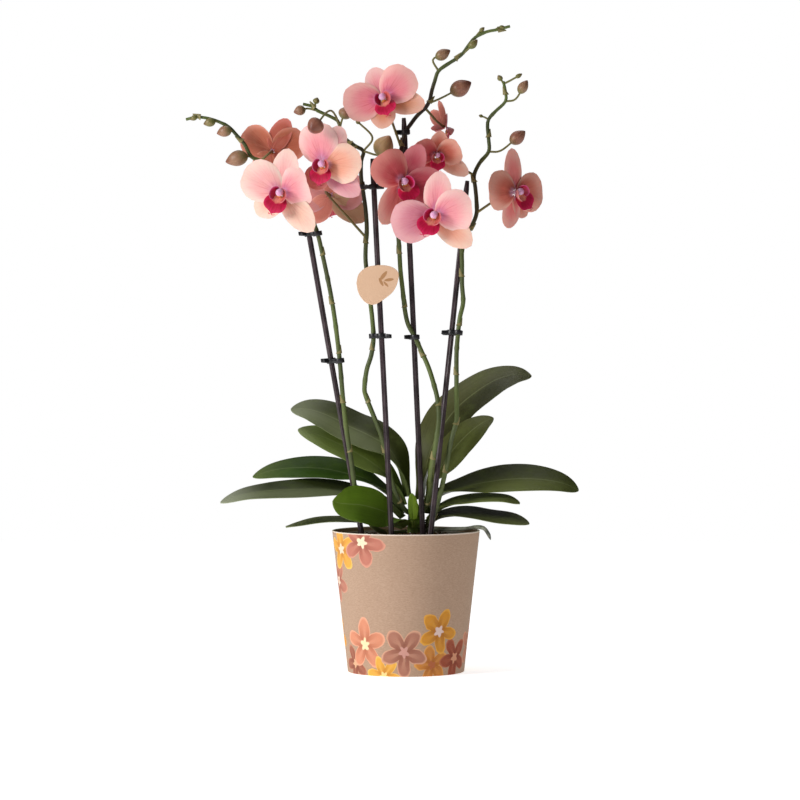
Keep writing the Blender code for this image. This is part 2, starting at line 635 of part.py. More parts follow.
def make_spike(name, spike, collection, helpers, material):
    """A stem with its side stalks, buds and flower stalks, grown as one piece."""
    route = smooth_route([place(point) for point in spike["route"]], STEM_STEP * MM)
    stem = tube(name, route, (STEM_RADIUS, STEM_TIP_RADIUS), collection)
    branches = bpy.data.collections.new(f"{name}_branches")
    helpers.children.link(branches)
    for i, (start, middle, centre, length, width) in enumerate(spike["buds"]):
        points = [place(point) for point in (start, middle, centre)]
        thin = min(PEDICEL_RADIUS, width * 0.3)
        as_helper(tube(f"{name}_bud_stalk_{i}", smooth_route(points, 8 * MM), (thin, thin), branches, 0))
        heading = points[2] - points[1]
        as_helper(ellipsoid(f"{name}_bud_{i}", points[2], heading, length, width, branches))
    for flower_name, start in spike["stalks"].items():
        points = stalk_route(start, FLOWERS[flower_name])
        thin = (PEDICEL_RADIUS * 1.2, PEDICEL_RADIUS)
        as_helper(tube(f"{flower_name}_stalk", points, thin, branches, 0))
    boolean(stem, branches, "UNION")
    return finish(stem, material, 60)


# Sticks, clips and label

def make_stick(name, collection, material):
    top, foot = stick_line(name)
    return finish(cylinder(name, foot, top, STICK_RADIUS, 10, collection), material)


def on_stick(name, height):
    """Where a stick's axis passes a height above the rim, and the axis' direction."""
    top, foot = stick_line(name)
    axis = (top - foot).normalized()
    level = (POT_HEIGHT + height) * MM
    return foot + axis * ((level - foot.z) / axis.z), axis


def on_spike(spike, height):
    route = smooth_route([place(point) for point in SPIKES[spike]["route"]], 3 * MM)
    level = (POT_HEIGHT + height) * MM
    for before, after in zip(route, route[1:]):
        if before.z <= level <= after.z:
            share = (level - before.z) / (after.z - before.z)
            return before + (after - before) * share
    raise ValueError(f"{spike} does not reach {height}")


def make_clip(name, clip, collection, helpers, material):
    """A clip of two joined rings, one round the stick and one round the spike, with a lever."""
    stick, spike, height, lever_side = clip
    at_stick, axis = on_stick(stick, height)
    at_stem = on_spike(spike, height)
    half = axis * CLIP_HEIGHT / 2 * MM
    ring = cylinder(name, at_stick - half, at_stick + half, STICK_RADIUS + GAP + CLIP_WALL, 12, collection)
    lower, upper = at_stem - half * 0.98, at_stem + half * 0.98
    other = cylinder(f"{name}_ring", lower, upper, STEM_RADIUS + GAP + CLIP_WALL, 12, helpers)
    boolean(ring, other, "UNION")
    bridge = cylinder(f"{name}_bridge", at_stick, at_stem, CLIP_HEIGHT * 0.4, 8, helpers)
    boolean(ring, bridge, "UNION")
    side = math.radians(lever_side)
    out = Vector((math.cos(side), math.sin(side), 0))
    lever_end = at_stick + out * (STICK_RADIUS + GAP + CLIP_WALL + LEVER_LENGTH) * MM
    boolean(ring, cylinder(f"{name}_lever", at_stick, lever_end, CLIP_HEIGHT * 0.35, 8, helpers), "UNION")
    top, foot = stick_line(stick)
    boolean(ring, cylinder(f"{name}_stick_bore", foot, top + axis * 5 * MM, STICK_RADIUS + GAP, 12, helpers),
            "DIFFERENCE")
    route = smooth_route([place(point) for point in SPIKES[spike]["route"]], STEM_STEP * MM)
    bore = tube(f"{name}_stem_bore", route, (STEM_RADIUS + GAP, STEM_TIP_RADIUS + GAP), helpers)
    boolean(ring, bore, "DIFFERENCE")
    return finish(ring, material)


def make_label(collection, helpers, material):
    """A pebble-shaped card in front of a stick, held by a ring behind it."""
    at_stick, axis = on_stick("centre_left_stick", LABEL_AT)
    stand_off = STICK_RADIUS + GAP + LABEL_STAND_OFF + LABEL_THICKNESS / 2
    curve = bpy.data.curves.new("label_outline", "CURVE")
    curve.dimensions = "2D"
    curve.fill_mode = "BOTH"
    curve.extrude = LABEL_THICKNESS / 2 * MM
    curve.resolution_u = 3
    spline = curve.splines.new("BEZIER")
    spline.bezier_points.add(len(LABEL_OUTLINE) - 1)
    for point, (x, z) in zip(spline.bezier_points, LABEL_OUTLINE):
        point.co = (x * MM, z * MM, 0)
        point.handle_left_type = "AUTO"
        point.handle_right_type = "AUTO"
    spline.use_cyclic_u = True
    guide = bpy.data.objects.new("label_outline", curve)
    helpers.objects.link(guide)
    guide.matrix_world = (Matrix.Translation(at_stick + Vector((0, -stand_off, 0)) * MM)
                          @ Matrix.Rotation(math.pi / 2, 4, "X"))
    bpy.context.view_layer.update()
    graph = bpy.context.evaluated_depsgraph_get()
    mesh = bpy.data.meshes.new_from_object(guide.evaluated_get(graph))
    matrix = guide.matrix_world.copy()
    bpy.data.objects.remove(guide)
    bm = bmesh.new()
    bm.from_mesh(mesh)
    bmesh.ops.remove_doubles(bm, verts=bm.verts, dist=1e-6)
    bm.to_mesh(mesh)
    bm.free()
    label = bpy.data.objects.new("plant_label", mesh)
    label.matrix_world = matrix
    collection.objects.link(label)
    half = axis * LABEL_RING_HEIGHT / 2 * MM
    ring = cylinder("label_ring", at_stick - half, at_stick + half, STICK_RADIUS + GAP + LABEL_RING_WALL, 12,
                    helpers)
    boolean(label, ring, "UNION")
    top, foot = stick_line("centre_left_stick")
    boolean(label, cylinder("label_bore", foot, top, STICK_RADIUS + GAP, 12, helpers), "DIFFERENCE")
    return finish(label, material)


def main():
    clear_scene()
    orchid = new_collection("potted_orchid")
    helpers = new_collection("helpers")
    sleeve = new_material("sleeve_paper", (0.46, 0.33, 0.23), 0.8)
    clear = new_material("nursery_plastic", (0.35, 0.33, 0.3), 0.35)
    bark = new_material("bark", (0.09, 0.05, 0.03), 0.9)
    crown = new_material("crown_green", (0.10, 0.15, 0.04), 0.6)
    root = new_material("root_grey", (0.30, 0.33, 0.24), 0.8)
    leaf = new_material("leaf_green", (0.045, 0.095, 0.022), 0.35)
    young = new_material("young_leaf_green", (0.19, 0.33, 0.035), 0.35)
    stem = new_material("stem_green", (0.10, 0.13, 0.035), 0.5)
    stick = new_material("stick_brown", (0.022, 0.014, 0.016), 0.5)
    clip = new_material("clip_plastic", (0.008, 0.008, 0.009), 0.4)
    card = new_material("label_card", (0.75, 0.47, 0.31), 0.8)
    flower_materials = {
        "petal": new_material("petal_salmon", (0.78, 0.27, 0.24), 0.5),
        "lip": new_material("lip_magenta", (0.50, 0.01, 0.08), 0.45),
    }
    make_outer_pot(orchid, sleeve)
    make_nursery_pot(orchid, helpers, clear)
    make_bark(orchid, helpers, bark)
    make_crown(orchid, crown)
    make_root(orchid, root)
    for name, sizes in LEAVES.items():
        make_leaf(name, sizes, orchid, young if name == "young_leaf" else leaf)
    for name in STICKS:
        make_stick(name, orchid, stick)
    for name, spike in SPIKES.items():
        make_spike(name, spike, orchid, helpers, stem)
    for name, sizes in CLIPS.items():
        make_clip(name, sizes, orchid, helpers, clip)
    make_label(orchid, helpers, card)
    for name, flower in FLOWERS.items():
        make_flower(name, flower, orchid, helpers, flower_materials)


main()
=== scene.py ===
import math

import bmesh
import bpy
from mathutils import Matrix, Vector, noise


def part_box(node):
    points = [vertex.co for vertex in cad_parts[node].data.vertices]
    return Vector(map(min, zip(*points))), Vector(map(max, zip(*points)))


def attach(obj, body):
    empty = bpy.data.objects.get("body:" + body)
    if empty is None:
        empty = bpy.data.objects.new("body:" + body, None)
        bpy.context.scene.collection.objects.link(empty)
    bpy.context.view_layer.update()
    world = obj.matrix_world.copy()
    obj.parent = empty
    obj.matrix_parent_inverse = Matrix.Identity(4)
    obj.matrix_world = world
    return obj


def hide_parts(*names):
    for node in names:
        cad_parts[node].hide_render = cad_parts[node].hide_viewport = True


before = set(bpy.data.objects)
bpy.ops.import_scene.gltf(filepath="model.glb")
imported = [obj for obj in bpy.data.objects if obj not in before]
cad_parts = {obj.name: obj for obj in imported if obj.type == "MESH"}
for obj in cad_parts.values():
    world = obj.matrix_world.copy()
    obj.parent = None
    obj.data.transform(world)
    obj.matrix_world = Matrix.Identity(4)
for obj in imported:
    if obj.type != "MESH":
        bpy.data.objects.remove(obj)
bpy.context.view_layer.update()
mm = 0.001
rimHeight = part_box("outer_pot")[1].z / mm  # the plant's heights below are measured from the pot's rim


def spot(place):  # a place of the plant, in millimetres from the pot's axis and rim
    return Vector((place[0], place[1], rimHeight + place[2])) * mm


def colour(red, green, blue):  # screen colour to the renderer's linear one
    def straight(value):
        value /= 255
        return value / 12.92 if value <= 0.04045 else ((value + 0.055) / 1.055) ** 2.4
    return (straight(red), straight(green), straight(blue), 1.0)


def between(first, second, share):
    share = min(1.0, max(0.0, share))
    return tuple(a + (b - a) * share for a, b in zip(first, second))


def ease(value):
    value = min(1.0, max(0.0, value))
    return value * value * (3 - 2 * value)


# nodes, for materials and for geometry alike
def addNode(tree, kind, settings=None, **inputs):
    made = tree.nodes.new(kind)
    for key, value in (settings or {}).items():
        setattr(made, key, value)
    for key, value in inputs.items():
        numbered = key[0] == "i" and key[1:].isdigit()
        socket = made.inputs[int(key[1:]) if numbered else key.replace("_", " ")]
        if isinstance(value, bpy.types.NodeSocket):
            tree.links.new(value, socket)
        else:
            socket.default_value = value
    return made


def maths(tree, operation, first, second=0.0, third=0.0, clamp=False):
    return addNode(tree, "ShaderNodeMath", {"operation": operation, "use_clamp": clamp},
                   i0=first, i1=second, i2=third).outputs[0]


def stepped(tree, value, low, high, toLow=0.0, toHigh=1.0):
    return addNode(tree, "ShaderNodeMapRange", {"interpolation_type": "SMOOTHSTEP"}, Value=value, From_Min=low,
                   From_Max=high, To_Min=toLow, To_Max=toHigh).outputs[0]


def mixColour(tree, share, first, second, kind="MIX"):
    return addNode(tree, "ShaderNodeMix", {"data_type": "RGBA", "blend_type": kind},
                   i0=share, i6=first, i7=second).outputs[2]


def noiseField(tree, vector, scale, detail=3.0, roughness=0.5, distortion=0.0):
    return addNode(tree, "ShaderNodeTexNoise", None, Vector=vector, Scale=scale, Detail=detail, Roughness=roughness,
                   Distortion=distortion).outputs[0]


def stretched(tree, vector, scale, turn=(0.0, 0.0, 0.0)):
    return addNode(tree, "ShaderNodeMapping", None, Vector=vector, Scale=scale, Rotation=turn).outputs[0]


def painted(tree):
    return addNode(tree, "ShaderNodeAttribute", {"attribute_name": "paint"}).outputs["Color"]


def newFinish(name, roughness, **sockets):
    finish = bpy.data.materials.new(name)
    finish.use_nodes = True
    tree = finish.node_tree
    shader = tree.nodes["Principled BSDF"]
    shader.inputs["Roughness"].default_value = roughness
    for key, value in sockets.items():
        shader.inputs[key.replace("_", " ")].default_value = value
    position = addNode(tree, "ShaderNodeTexCoord").outputs["Object"]
    return finish, tree, shader, position


def setBump(tree, shader, height, distance, strength=1.0):
    bump = addNode(tree, "ShaderNodeBump", None, Height=height, Distance=distance, Strength=strength)
    tree.links.new(bump.outputs[0], shader.inputs["Normal"])


def useColour(tree, shader, value):
    tree.links.new(value, shader.inputs["Base Color"])


# meshes from rings of points, each with a colour and a place on the surface
def newStore():
    return {"points": [], "faces": [], "uvs": [], "paints": []}


def loft(store, rings, paints, uvs, ends="caps"):
    base, count = len(store["points"]), len(rings[0])
    for ring, paintRow, uvRow in zip(rings, paints, uvs):
        store["points"].extend(ring)
        store["paints"].extend(paintRow)
        store["uvs"].extend(uvRow)
    for i in range(len(rings) - 1):
        for j in range(count):
            after = (j + 1) % count
            a, b = base + i * count, base + (i + 1) * count
            store["faces"].append((a + j, a + after, b + after, b + j))
    last = base + (len(rings) - 1) * count
    if ends == "caps":
        store["faces"].append(tuple(base + j for j in reversed(range(count))))
        store["faces"].append(tuple(last + j for j in range(count)))
    else:  # a sheet's ring runs along its front and back along its back, so a strip closes it
        for start, step in ((base, 1), (last, -1)):
            for j in range(count // 2 - 1):
                face = (start + j, start + count - 1 - j, start + count - 2 - j, start + j + 1)
                store["faces"].append(face[::step])


def newPiece(name, store, finish, cadNode, sharp=60):
    mesh = bpy.data.meshes.new(name)
    mesh.from_pydata([tuple(p) for p in store["points"]], [], store["faces"])
    paint = mesh.attributes.new("paint", "FLOAT_COLOR", "POINT")
    paint.data.foreach_set("color", [value for c in store["paints"] for value in c])
    uvLayer = mesh.uv_layers.new(name="UVMap")
    corners = [0] * len(mesh.loops)
    mesh.loops.foreach_get("vertex_index", corners)
    uvLayer.data.foreach_set("uv", [value for index in corners for value in store["uvs"][index]])
    bm = bmesh.new()
    bm.from_mesh(mesh)
    bmesh.ops.recalc_face_normals(bm, faces=bm.faces)
    bm.to_mesh(mesh)
    bm.free()
    return showMesh(name, mesh, finish, cadNode, sharp)


def showMesh(name, mesh, finish, cadNode, sharp=60):
    mesh.shade_smooth()
    mesh.set_sharp_from_angle(angle=math.radians(sharp))
    mesh.materials.clear()
    mesh.materials.append(finish)
    piece = bpy.data.objects.new(name, mesh)
    bpy.context.scene.collection.objects.link(piece)
    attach(piece, "root")
    if cadNode:
        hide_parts(*([cadNode] if isinstance(cadNode, str) else cadNode))
    return piece


def smoothPath(points, step):  # points along a smooth curve through the given ones
    padded = [points[0] * 2 - points[1], *points, points[-1] * 2 - points[-2]]
    path = []
    for a, b, c, d in zip(padded, padded[1:], padded[2:], padded[3:]):
        count = max(1, round((c - b).length / step))
        for i in range(count):
            t = i / count
            path.append(0.5 * (2 * b + (c - a) * t + (2 * a - 5 * b + 4 * c - d) * t**2
                               + (3 * b - a - 3 * c + d) * t**3))
    return [*path, points[-1].copy()]


def lengthsOf(path):
    lengths = [0.0]
    for before, after in zip(path, path[1:]):
        lengths.append(lengths[-1] + (after - before).length)
    return lengths


def addTube(store, path, radius, paint, sides=12, flute=0.0, flutes=5):
    lengths = lengthsOf(path)
    total = lengths[-1]
    across = None
    rings, paints, uvs = [], [], []
    for i, centre in enumerate(path):
        along = (path[min(i + 1, len(path) - 1)] - path[max(i - 1, 0)]).normalized()
        across = along.orthogonal() if across is None else across - along * across.dot(along)
        across.normalize()
        other = along.cross(across)
        share = lengths[i] / total
        thick = radius(share, lengths[i])
        ring, paintRow, uvRow = [], [], []
        for j in range(sides):
            angle = 2 * math.pi * j / sides
            reach = thick * (1 + flute * math.cos(flutes * angle))
            ring.append(centre + (across * math.cos(angle) + other * math.sin(angle)) * reach)
            paintRow.append(paint(share, angle))
            uvRow.append((j / sides, lengths[i] * 20))
        rings.append(ring)
        paints.append(paintRow)
        uvs.append(uvRow)
    loft(store, rings, paints, uvs)


def addOvoid(store, centre, axis, length, width, profile, paint, rings=14, sides=18, ridges=0.0, ridgeCount=3):
    axis = axis.normalized()
    across = axis.orthogonal().normalized()
    other = axis.cross(across)
    rows, paints, uvs = [], [], []
    for i in range(rings + 1):
        t = 0.5 - 0.5 * math.cos(math.pi * (0.02 + 0.96 * i / rings))
        reach = max(profile(t), 0.02) * width / 2
        row, paintRow, uvRow = [], [], []
        for j in range(sides):
            angle = 2 * math.pi * j / sides
            out = reach * (1 + ridges * math.cos(ridgeCount * angle) * math.sin(math.pi * t))
            row.append(centre + axis * (t - 0.5) * length + (across * math.cos(angle) + other * math.sin(angle)) * out)
            paintRow.append(paint(t, angle))
            uvRow.append((j / sides, t))
        rows.append(row)
        paints.append(paintRow)
        uvs.append(uvRow)
    loft(store, rows, paints, uvs)


# geometry trees
def newTree(name, *sockets):
    tree = bpy.data.node_groups.new(name, "GeometryNodeTree")
    tree.interface.new_socket(name="Geometry", in_out="INPUT", socket_type="NodeSocketGeometry")
    for label, kind in sockets:
        tree.interface.new_socket(name=label, in_out="INPUT", socket_type="NodeSocket" + kind)
    tree.interface.new_socket(name="Geometry", in_out="OUTPUT", socket_type="NodeSocketGeometry")
    return tree, tree.nodes.new("NodeGroupInput").outputs


def endTree(tree, geometry, finish):
    solid = addNode(tree, "GeometryNodeRealizeInstances", None, Geometry=geometry).outputs[0]
    given = addNode(tree, "GeometryNodeSetMaterial", None, Geometry=solid, Material=finish).outputs[0]
    tree.links.new(given, tree.nodes.new("NodeGroupOutput").inputs[0])


def grown(name, tree, base, values):  # the plain mesh that a tree makes of a base mesh
    host = bpy.data.objects.new(name, base)
    bpy.context.scene.collection.objects.link(host)
    modifier = host.modifiers.new(tree.name, "NODES")
    modifier.node_group = tree
    for socket in tree.interface.items_tree:
        if socket.in_out == "INPUT" and socket.name in values:
            modifier[socket.identifier] = values[socket.name]
    bpy.context.view_layer.update()
    graph = bpy.context.evaluated_depsgraph_get()
    mesh = bpy.data.meshes.new_from_object(host.evaluated_get(graph))
    bpy.data.objects.remove(host)
    mesh.name = name
    return mesh


def lineMesh(name, points):
    mesh = bpy.data.meshes.new(name)
    mesh.from_pydata([tuple(p) for p in points], [(i, i + 1) for i in range(len(points) - 1)], [])
    return mesh


# camera, floor and light
stage = {"eye": (-0.0054, -3.0, 0.31), "aim": (-0.0054, 0.0, 0.24435), "lens": 150, "sensor": 36, "floor": 1.8,
         "floorGlow": 0.78, "ambient": 0.08, "lampAim": (0, 0, 0.28)}
lamps = {"key": ((-2.3, -1.35, 1.25), 1.0, 58.0), "fill": ((1.6, -1.6, 0.9), 1.4, 0.1),
         "top": ((-0.2, 0.5, 2.0), 1.2, 9.0)}


def makeStage():
    camera = bpy.data.objects.new("camera", bpy.data.cameras.new("camera"))
    bpy.context.scene.collection.objects.link(camera)
    camera.location = stage["eye"]
    camera.rotation_euler = (Vector(stage["aim"]) - Vector(stage["eye"])).to_track_quat("-Z", "Y").to_euler()
    camera.data.lens = stage["lens"]
    camera.data.sensor_width = stage["sensor"]
    bpy.context.scene.camera = camera
    bpy.context.scene.view_settings.view_transform = "Standard"

    half = stage["floor"]
    mesh = bpy.data.meshes.new("floor")
    mesh.from_pydata([(-half, -half, 0), (half, -half, 0), (half, half, 0), (-half, half, 0)], [], [(0, 1, 2, 3)])
    floor = bpy.data.objects.new("floor", mesh)
    bpy.context.scene.collection.objects.link(floor)
    pale, tree, shader, position = newFinish("pale_floor", 0.9, Emission_Strength=stage["floorGlow"],
                                             Emission_Color=(1, 1, 1, 1))
    cloud = noiseField(tree, position, 3.0, 2.0)
    useColour(tree, shader, mixColour(tree, cloud, colour(246, 246, 246), colour(250, 250, 250)))
    mesh.materials.append(pale)

    world = bpy.data.worlds.new("studio")
    bpy.context.scene.world = world
    world.use_nodes = True
    tree = world.node_tree
    background = tree.nodes["Background"]
    seen = addNode(tree, "ShaderNodeLightPath").outputs["Is Camera Ray"]
    tree.links.new(stepped(tree, seen, 0.0, 1.0, stage["ambient"], 1.0), background.inputs["Strength"])
    background.inputs["Color"].default_value = (1, 1, 1, 1)
    for name, (place, size, power) in lamps.items():
        lamp = bpy.data.lights.new(name, "AREA")
        lamp.size, lamp.energy = size, power
        light = bpy.data.objects.new(name, lamp)
        bpy.context.scene.collection.objects.link(light)
        light.location = place
        light.rotation_euler = (Vector(stage["lampAim"]) - Vector(place)).to_track_quat("-Z", "Y").to_euler()


makeStage()
print("stage set")

# the sleeve pot: a tapered kraft card cover with printed blossoms
sleeve = {"rimRadius": 66.5, "footRadius": 52.5, "wall": 1.6, "floor": 2.0, "edge": 0.35, "sides": 192,
          "seamAngle": 168, "seamStep": 0.35, "card": colour(190, 160, 137), "cutEdge": colour(240, 224, 208)}
# each printed blossom: degrees round from the front, height, size, turn, petals, petal, outline and heart colours
blossoms = [
    (-77, 83, 20, 20, 5, (196, 128, 108), (216, 160, 136), (240, 214, 190)),
    (-63, 112, 21, 50, 5, (244, 178, 70), (250, 204, 104), (246, 218, 190)),
    (-37, 119, 22, 5, 5, (202, 126, 108), (226, 162, 138), (248, 230, 196)),
    (-57, 10, 18, 30, 5, (166, 100, 80), (200, 136, 104), (226, 178, 140)),
    (-41, 28, 24, 54, 5, (228, 150, 116), (238, 176, 146), (248, 228, 180)),
    (-22, 0, 19, 10, 6, (246, 184, 70), (250, 206, 110), (248, 220, 150)),
    (25, 10, 18, 40, 5, (212, 138, 56), (232, 170, 92), (180, 100, 60)),
    (52, 15, 20, 24, 5, (162, 76, 50), (196, 112, 80), (214, 150, 116)),
    (31, 40, 21, 80, 5, (220, 150, 42), (238, 176, 70), (232, 204, 196)),
    (-2, 22, 23.5, 18, 5, (180, 122, 102), (230, 176, 146), (208, 152, 140)),
    (84, 26, 21, 60, 5, (206, 140, 112), (226, 164, 130), (244, 214, 180)),
    (112, 6, 22, 12, 5, (236, 170, 62), (246, 192, 92), (242, 214, 176)),
    (140, 28, 22, 40, 5, (186, 128, 112), (224, 172, 140), (236, 196, 172)),
    (162, 4, 18, 5, 6, (240, 176, 76), (248, 198, 104), (246, 214, 150)),
    (-162, 30, 20, 15, 5, (214, 142, 50), (234, 170, 76), (240, 206, 186)),
    (-140, 12, 24, 30, 5, (218, 146, 114), (232, 168, 136), (246, 220, 184)),
    (-112, 6, 21, 66, 5, (172, 102, 80), (204, 138, 108), (232, 186, 150)),
    (-92, 32, 19, 15, 5, (228, 156, 52), (242, 182, 76), (240, 206, 186)),
    (-108, 112, 22, 44, 5, (200, 134, 116), (222, 160, 138), (244, 220, 194)),
]


def blossomGroup():
    group = bpy.data.node_groups.new("printedBlossom", "ShaderNodeTree")
    for label, kind in (("Around", "Float"), ("Height", "Float"),
                        ("Centre Around", "Float"), ("Centre Height", "Float"),
                        ("Size", "Float"), ("Turn", "Float"), ("Petals", "Float"),
                        ("Under", "Color"), ("Petal", "Color"), ("Outline", "Color"), ("Heart", "Color")):
        group.interface.new_socket(name=label, in_out="INPUT", socket_type="NodeSocket" + kind)
    group.interface.new_socket(name="Print", in_out="OUTPUT", socket_type="NodeSocketColor")
    given = group.nodes.new("NodeGroupInput").outputs
    x = maths(group, "DIVIDE", maths(group, "SUBTRACT", given["Around"], given["Centre Around"]), given["Size"])
    y = maths(group, "DIVIDE", maths(group, "SUBTRACT", given["Height"], given["Centre Height"]), given["Size"])
    reach = maths(group, "SQRT", maths(group, "ADD", maths(group, "MULTIPLY", x, x), maths(group, "MULTIPLY", y, y)))
    angle = maths(group, "ADD", maths(group, "ARCTAN2", y, x), given["Turn"])
    wave = maths(group, "COSINE", maths(group, "MULTIPLY", angle, given["Petals"]))
    lobe = maths(group, "POWER", maths(group, "MULTIPLY_ADD", wave, 0.5, 0.5), 0.55)
    edge = maths(group, "MULTIPLY_ADD", lobe, 0.55, 0.45)
    depth = maths(group, "SUBTRACT", edge, reach)
    inside = stepped(group, depth, -0.015, 0.015)
    rib = maths(group, "MULTIPLY", stepped(group, lobe, 0.82, 1.0), stepped(group, reach, 0.2, 0.9, 1.0, 0.0))
    shade = maths(group, "MULTIPLY_ADD", stepped(group, reach, 0.1, 0.8), 0.5, maths(group, "MULTIPLY", lobe, 0.3))
    petal = mixColour(group, maths(group, "SUBTRACT", 1.0, shade, clamp=True), given["Petal"],
                      mixColour(group, 1.0, given["Petal"], (0.62, 0.48, 0.45, 1), "MULTIPLY"))
    petal = mixColour(group, maths(group, "MULTIPLY", rib, 0.35), petal, given["Outline"])
    petal = mixColour(group, maths(group, "MULTIPLY", stepped(group, depth, 0.13, 0.03), 0.75), petal,
                      given["Outline"])
    heartEdge = maths(group, "MULTIPLY_ADD", wave, 0.05, 0.2)
    petal = mixColour(group, stepped(group, maths(group, "SUBTRACT", heartEdge, reach), -0.02, 0.03), petal,
                      given["Heart"])
    result = mixColour(group, inside, given["Under"], petal)
    group.links.new(result, group.nodes.new("NodeGroupOutput").inputs[0])
    return group


def kraftFinish():
    finish, tree, shader, position = newFinish("kraft_card", 0.78, Specular_IOR_Level=0.3)
    parts = addNode(tree, "ShaderNodeSeparateXYZ", None, Vector=position).outputs
    angle = maths(tree, "ARCTAN2", parts["X"], maths(tree, "MULTIPLY", parts["Y"], -1.0))
    middle = (sleeve["rimRadius"] + sleeve["footRadius"]) / 2
    around = maths(tree, "MULTIPLY", angle, middle)
    height = maths(tree, "DIVIDE", parts["Z"], mm)
    fibre = noiseField(tree, stretched(tree, position, (420, 420, 1500)), 1.0, 5.0, 0.65)
    fleck = noiseField(tree, position, 900.0, 2.0, 0.6)
    cloud = noiseField(tree, position, 38.0, 3.0, 0.55)
    dark = mixColour(tree, 1.0, sleeve["card"], (0.8, 0.76, 0.72, 1), "MULTIPLY")
    ink = mixColour(tree, stepped(tree, fibre, 0.3, 0.75), sleeve["card"], dark)
    ink = mixColour(tree, maths(tree, "MULTIPLY", stepped(tree, cloud, 0.3, 0.7), 0.18), ink, dark)
    wobble = maths(tree, "MULTIPLY", maths(tree, "SUBTRACT", noiseField(tree, position, 90.0, 2.0), 0.5), 4.0)
    bentAround, bentHeight = maths(tree, "ADD", around, wobble), maths(tree, "ADD", height, wobble)
    group = blossomGroup()
    plain = ink
    for degrees, level, size, turn, petals, petal, outline, heart in blossoms:
        made = addNode(tree, "ShaderNodeGroup", {"node_tree": group}, Around=bentAround, Height=bentHeight,
                       Centre_Around=math.radians(degrees) * middle, Centre_Height=level, Size=size,
                       Turn=math.radians(turn), Petals=petals, Under=ink, Petal=colour(*petal),
                       Outline=colour(*outline), Heart=colour(*heart))
        ink = made.outputs[0]
    ink = mixColour(tree, maths(tree, "MULTIPLY", stepped(tree, fibre, 0.35, 0.7), 0.16), ink, dark)
    flat = addNode(tree, "ShaderNodeVectorMath", {"operation": "LENGTH"},
                   i0=addNode(tree, "ShaderNodeVectorMath", {"operation": "MULTIPLY"}, i0=position,
                              i1=(1000, 1000, 0)).outputs[0])
    slope = (sleeve["rimRadius"] - sleeve["footRadius"]) / rimHeight
    wallRadius = maths(tree, "MULTIPLY_ADD", height, slope, sleeve["footRadius"] - 0.8)
    outside = stepped(tree, maths(tree, "SUBTRACT", flat.outputs["Value"], wallRadius), -0.2, 0.1)
    shown = mixColour(tree, outside, plain, ink)
    edge = stepped(tree, height, rimHeight - 1.3, rimHeight - 0.5)
    shown = mixColour(tree, edge, shown, sleeve["cutEdge"])
    shown = mixColour(tree, maths(tree, "MULTIPLY", stepped(tree, fleck, 0.66, 0.72), 0.35), shown,
                      colour(120, 92, 70))
    useColour(tree, shader, shown)
    setBump(tree, shader, maths(tree, "ADD", fibre, maths(tree, "MULTIPLY", fleck, 0.4)), 0.00012, 0.6)
    return finish


def turnedTree():  # turns a profile round the axis and gives the wrap its overlapping seam
    tree, given = newTree("turnedCard", ("Sides", "Int"), ("Seam Angle", "Float"), ("Seam Step", "Float"),
                          ("Finish", "Material"))
    profile = addNode(tree, "GeometryNodeMeshToCurve", None, Mesh=given["Geometry"]).outputs[0]
    circle = addNode(tree, "GeometryNodeCurvePrimitiveCircle", {"mode": "RADIUS"}, Resolution=given["Sides"],
                     Radius=0.001).outputs[0]
    body = addNode(tree, "GeometryNodeCurveToMesh", None, Curve=circle, Profile_Curve=profile).outputs[0]
    place = addNode(tree, "GeometryNodeInputPosition").outputs[0]
    parts = addNode(tree, "ShaderNodeSeparateXYZ", None, Vector=place).outputs
    angle = maths(tree, "ARCTAN2", parts["X"], maths(tree, "MULTIPLY", parts["Y"], -1.0))
    past = maths(tree, "SUBTRACT", angle, given["Seam Angle"])
    lift = maths(tree, "MULTIPLY", maths(tree, "MULTIPLY", stepped(tree, past, -0.02, 0.0),
                                         stepped(tree, past, 0.0, 0.16, 1.0, 0.0)),
                 given["Seam Step"])
    out = addNode(tree, "ShaderNodeVectorMath", {"operation": "NORMALIZE"},
                  i0=addNode(tree, "ShaderNodeVectorMath", {"operation": "MULTIPLY"}, i0=place,
                             i1=(1, 1, 0)).outputs[0]).outputs[0]
    push = addNode(tree, "ShaderNodeVectorMath", {"operation": "SCALE"}, i0=out, Scale=lift).outputs[0]
    body = addNode(tree, "GeometryNodeSetPosition", None, Geometry=body, Offset=push).outputs[0]
    endTree(tree, body, given["Finish"])
    return tree


def closedRound(mesh):  # merges the seam and the axis points of a turned mesh and points its faces outwards
    bm = bmesh.new()
    bm.from_mesh(mesh)
    bmesh.ops.remove_doubles(bm, verts=bm.verts, dist=2e-6)
    bmesh.ops.recalc_face_normals(bm, faces=bm.faces)
    bm.to_mesh(mesh)
    bm.free()
    return mesh


def turnedMesh(name, profile, sides, tree, values):
    base = lineMesh(name + "_profile", [Vector((r - 1.0, -h, 0)) * mm for r, h in profile])
    values = {"Sides": sides, "Seam Angle": 0.0, "Seam Step": 0.0, **values}
    return closedRound(grown(name, tree, base, values))


def rounded(profile, radius, steps=4):  # softens the corners of a profile
    soft = [profile[0]]
    for before, corner, after in zip(profile, profile[1:], profile[2:]):
        a, b, c = Vector(before), Vector(corner), Vector(after)
        reach = min(radius, (a - b).length * 0.45, (c - b).length * 0.45)
        start, end = b + (a - b).normalized() * reach, b + (c - b).normalized() * reach
        for i in range(steps + 1):
            t = i / steps
            soft.append(tuple(start * (1 - t) ** 2 + b * 2 * t * (1 - t) + end * t**2))
    return [*soft, profile[-1]]


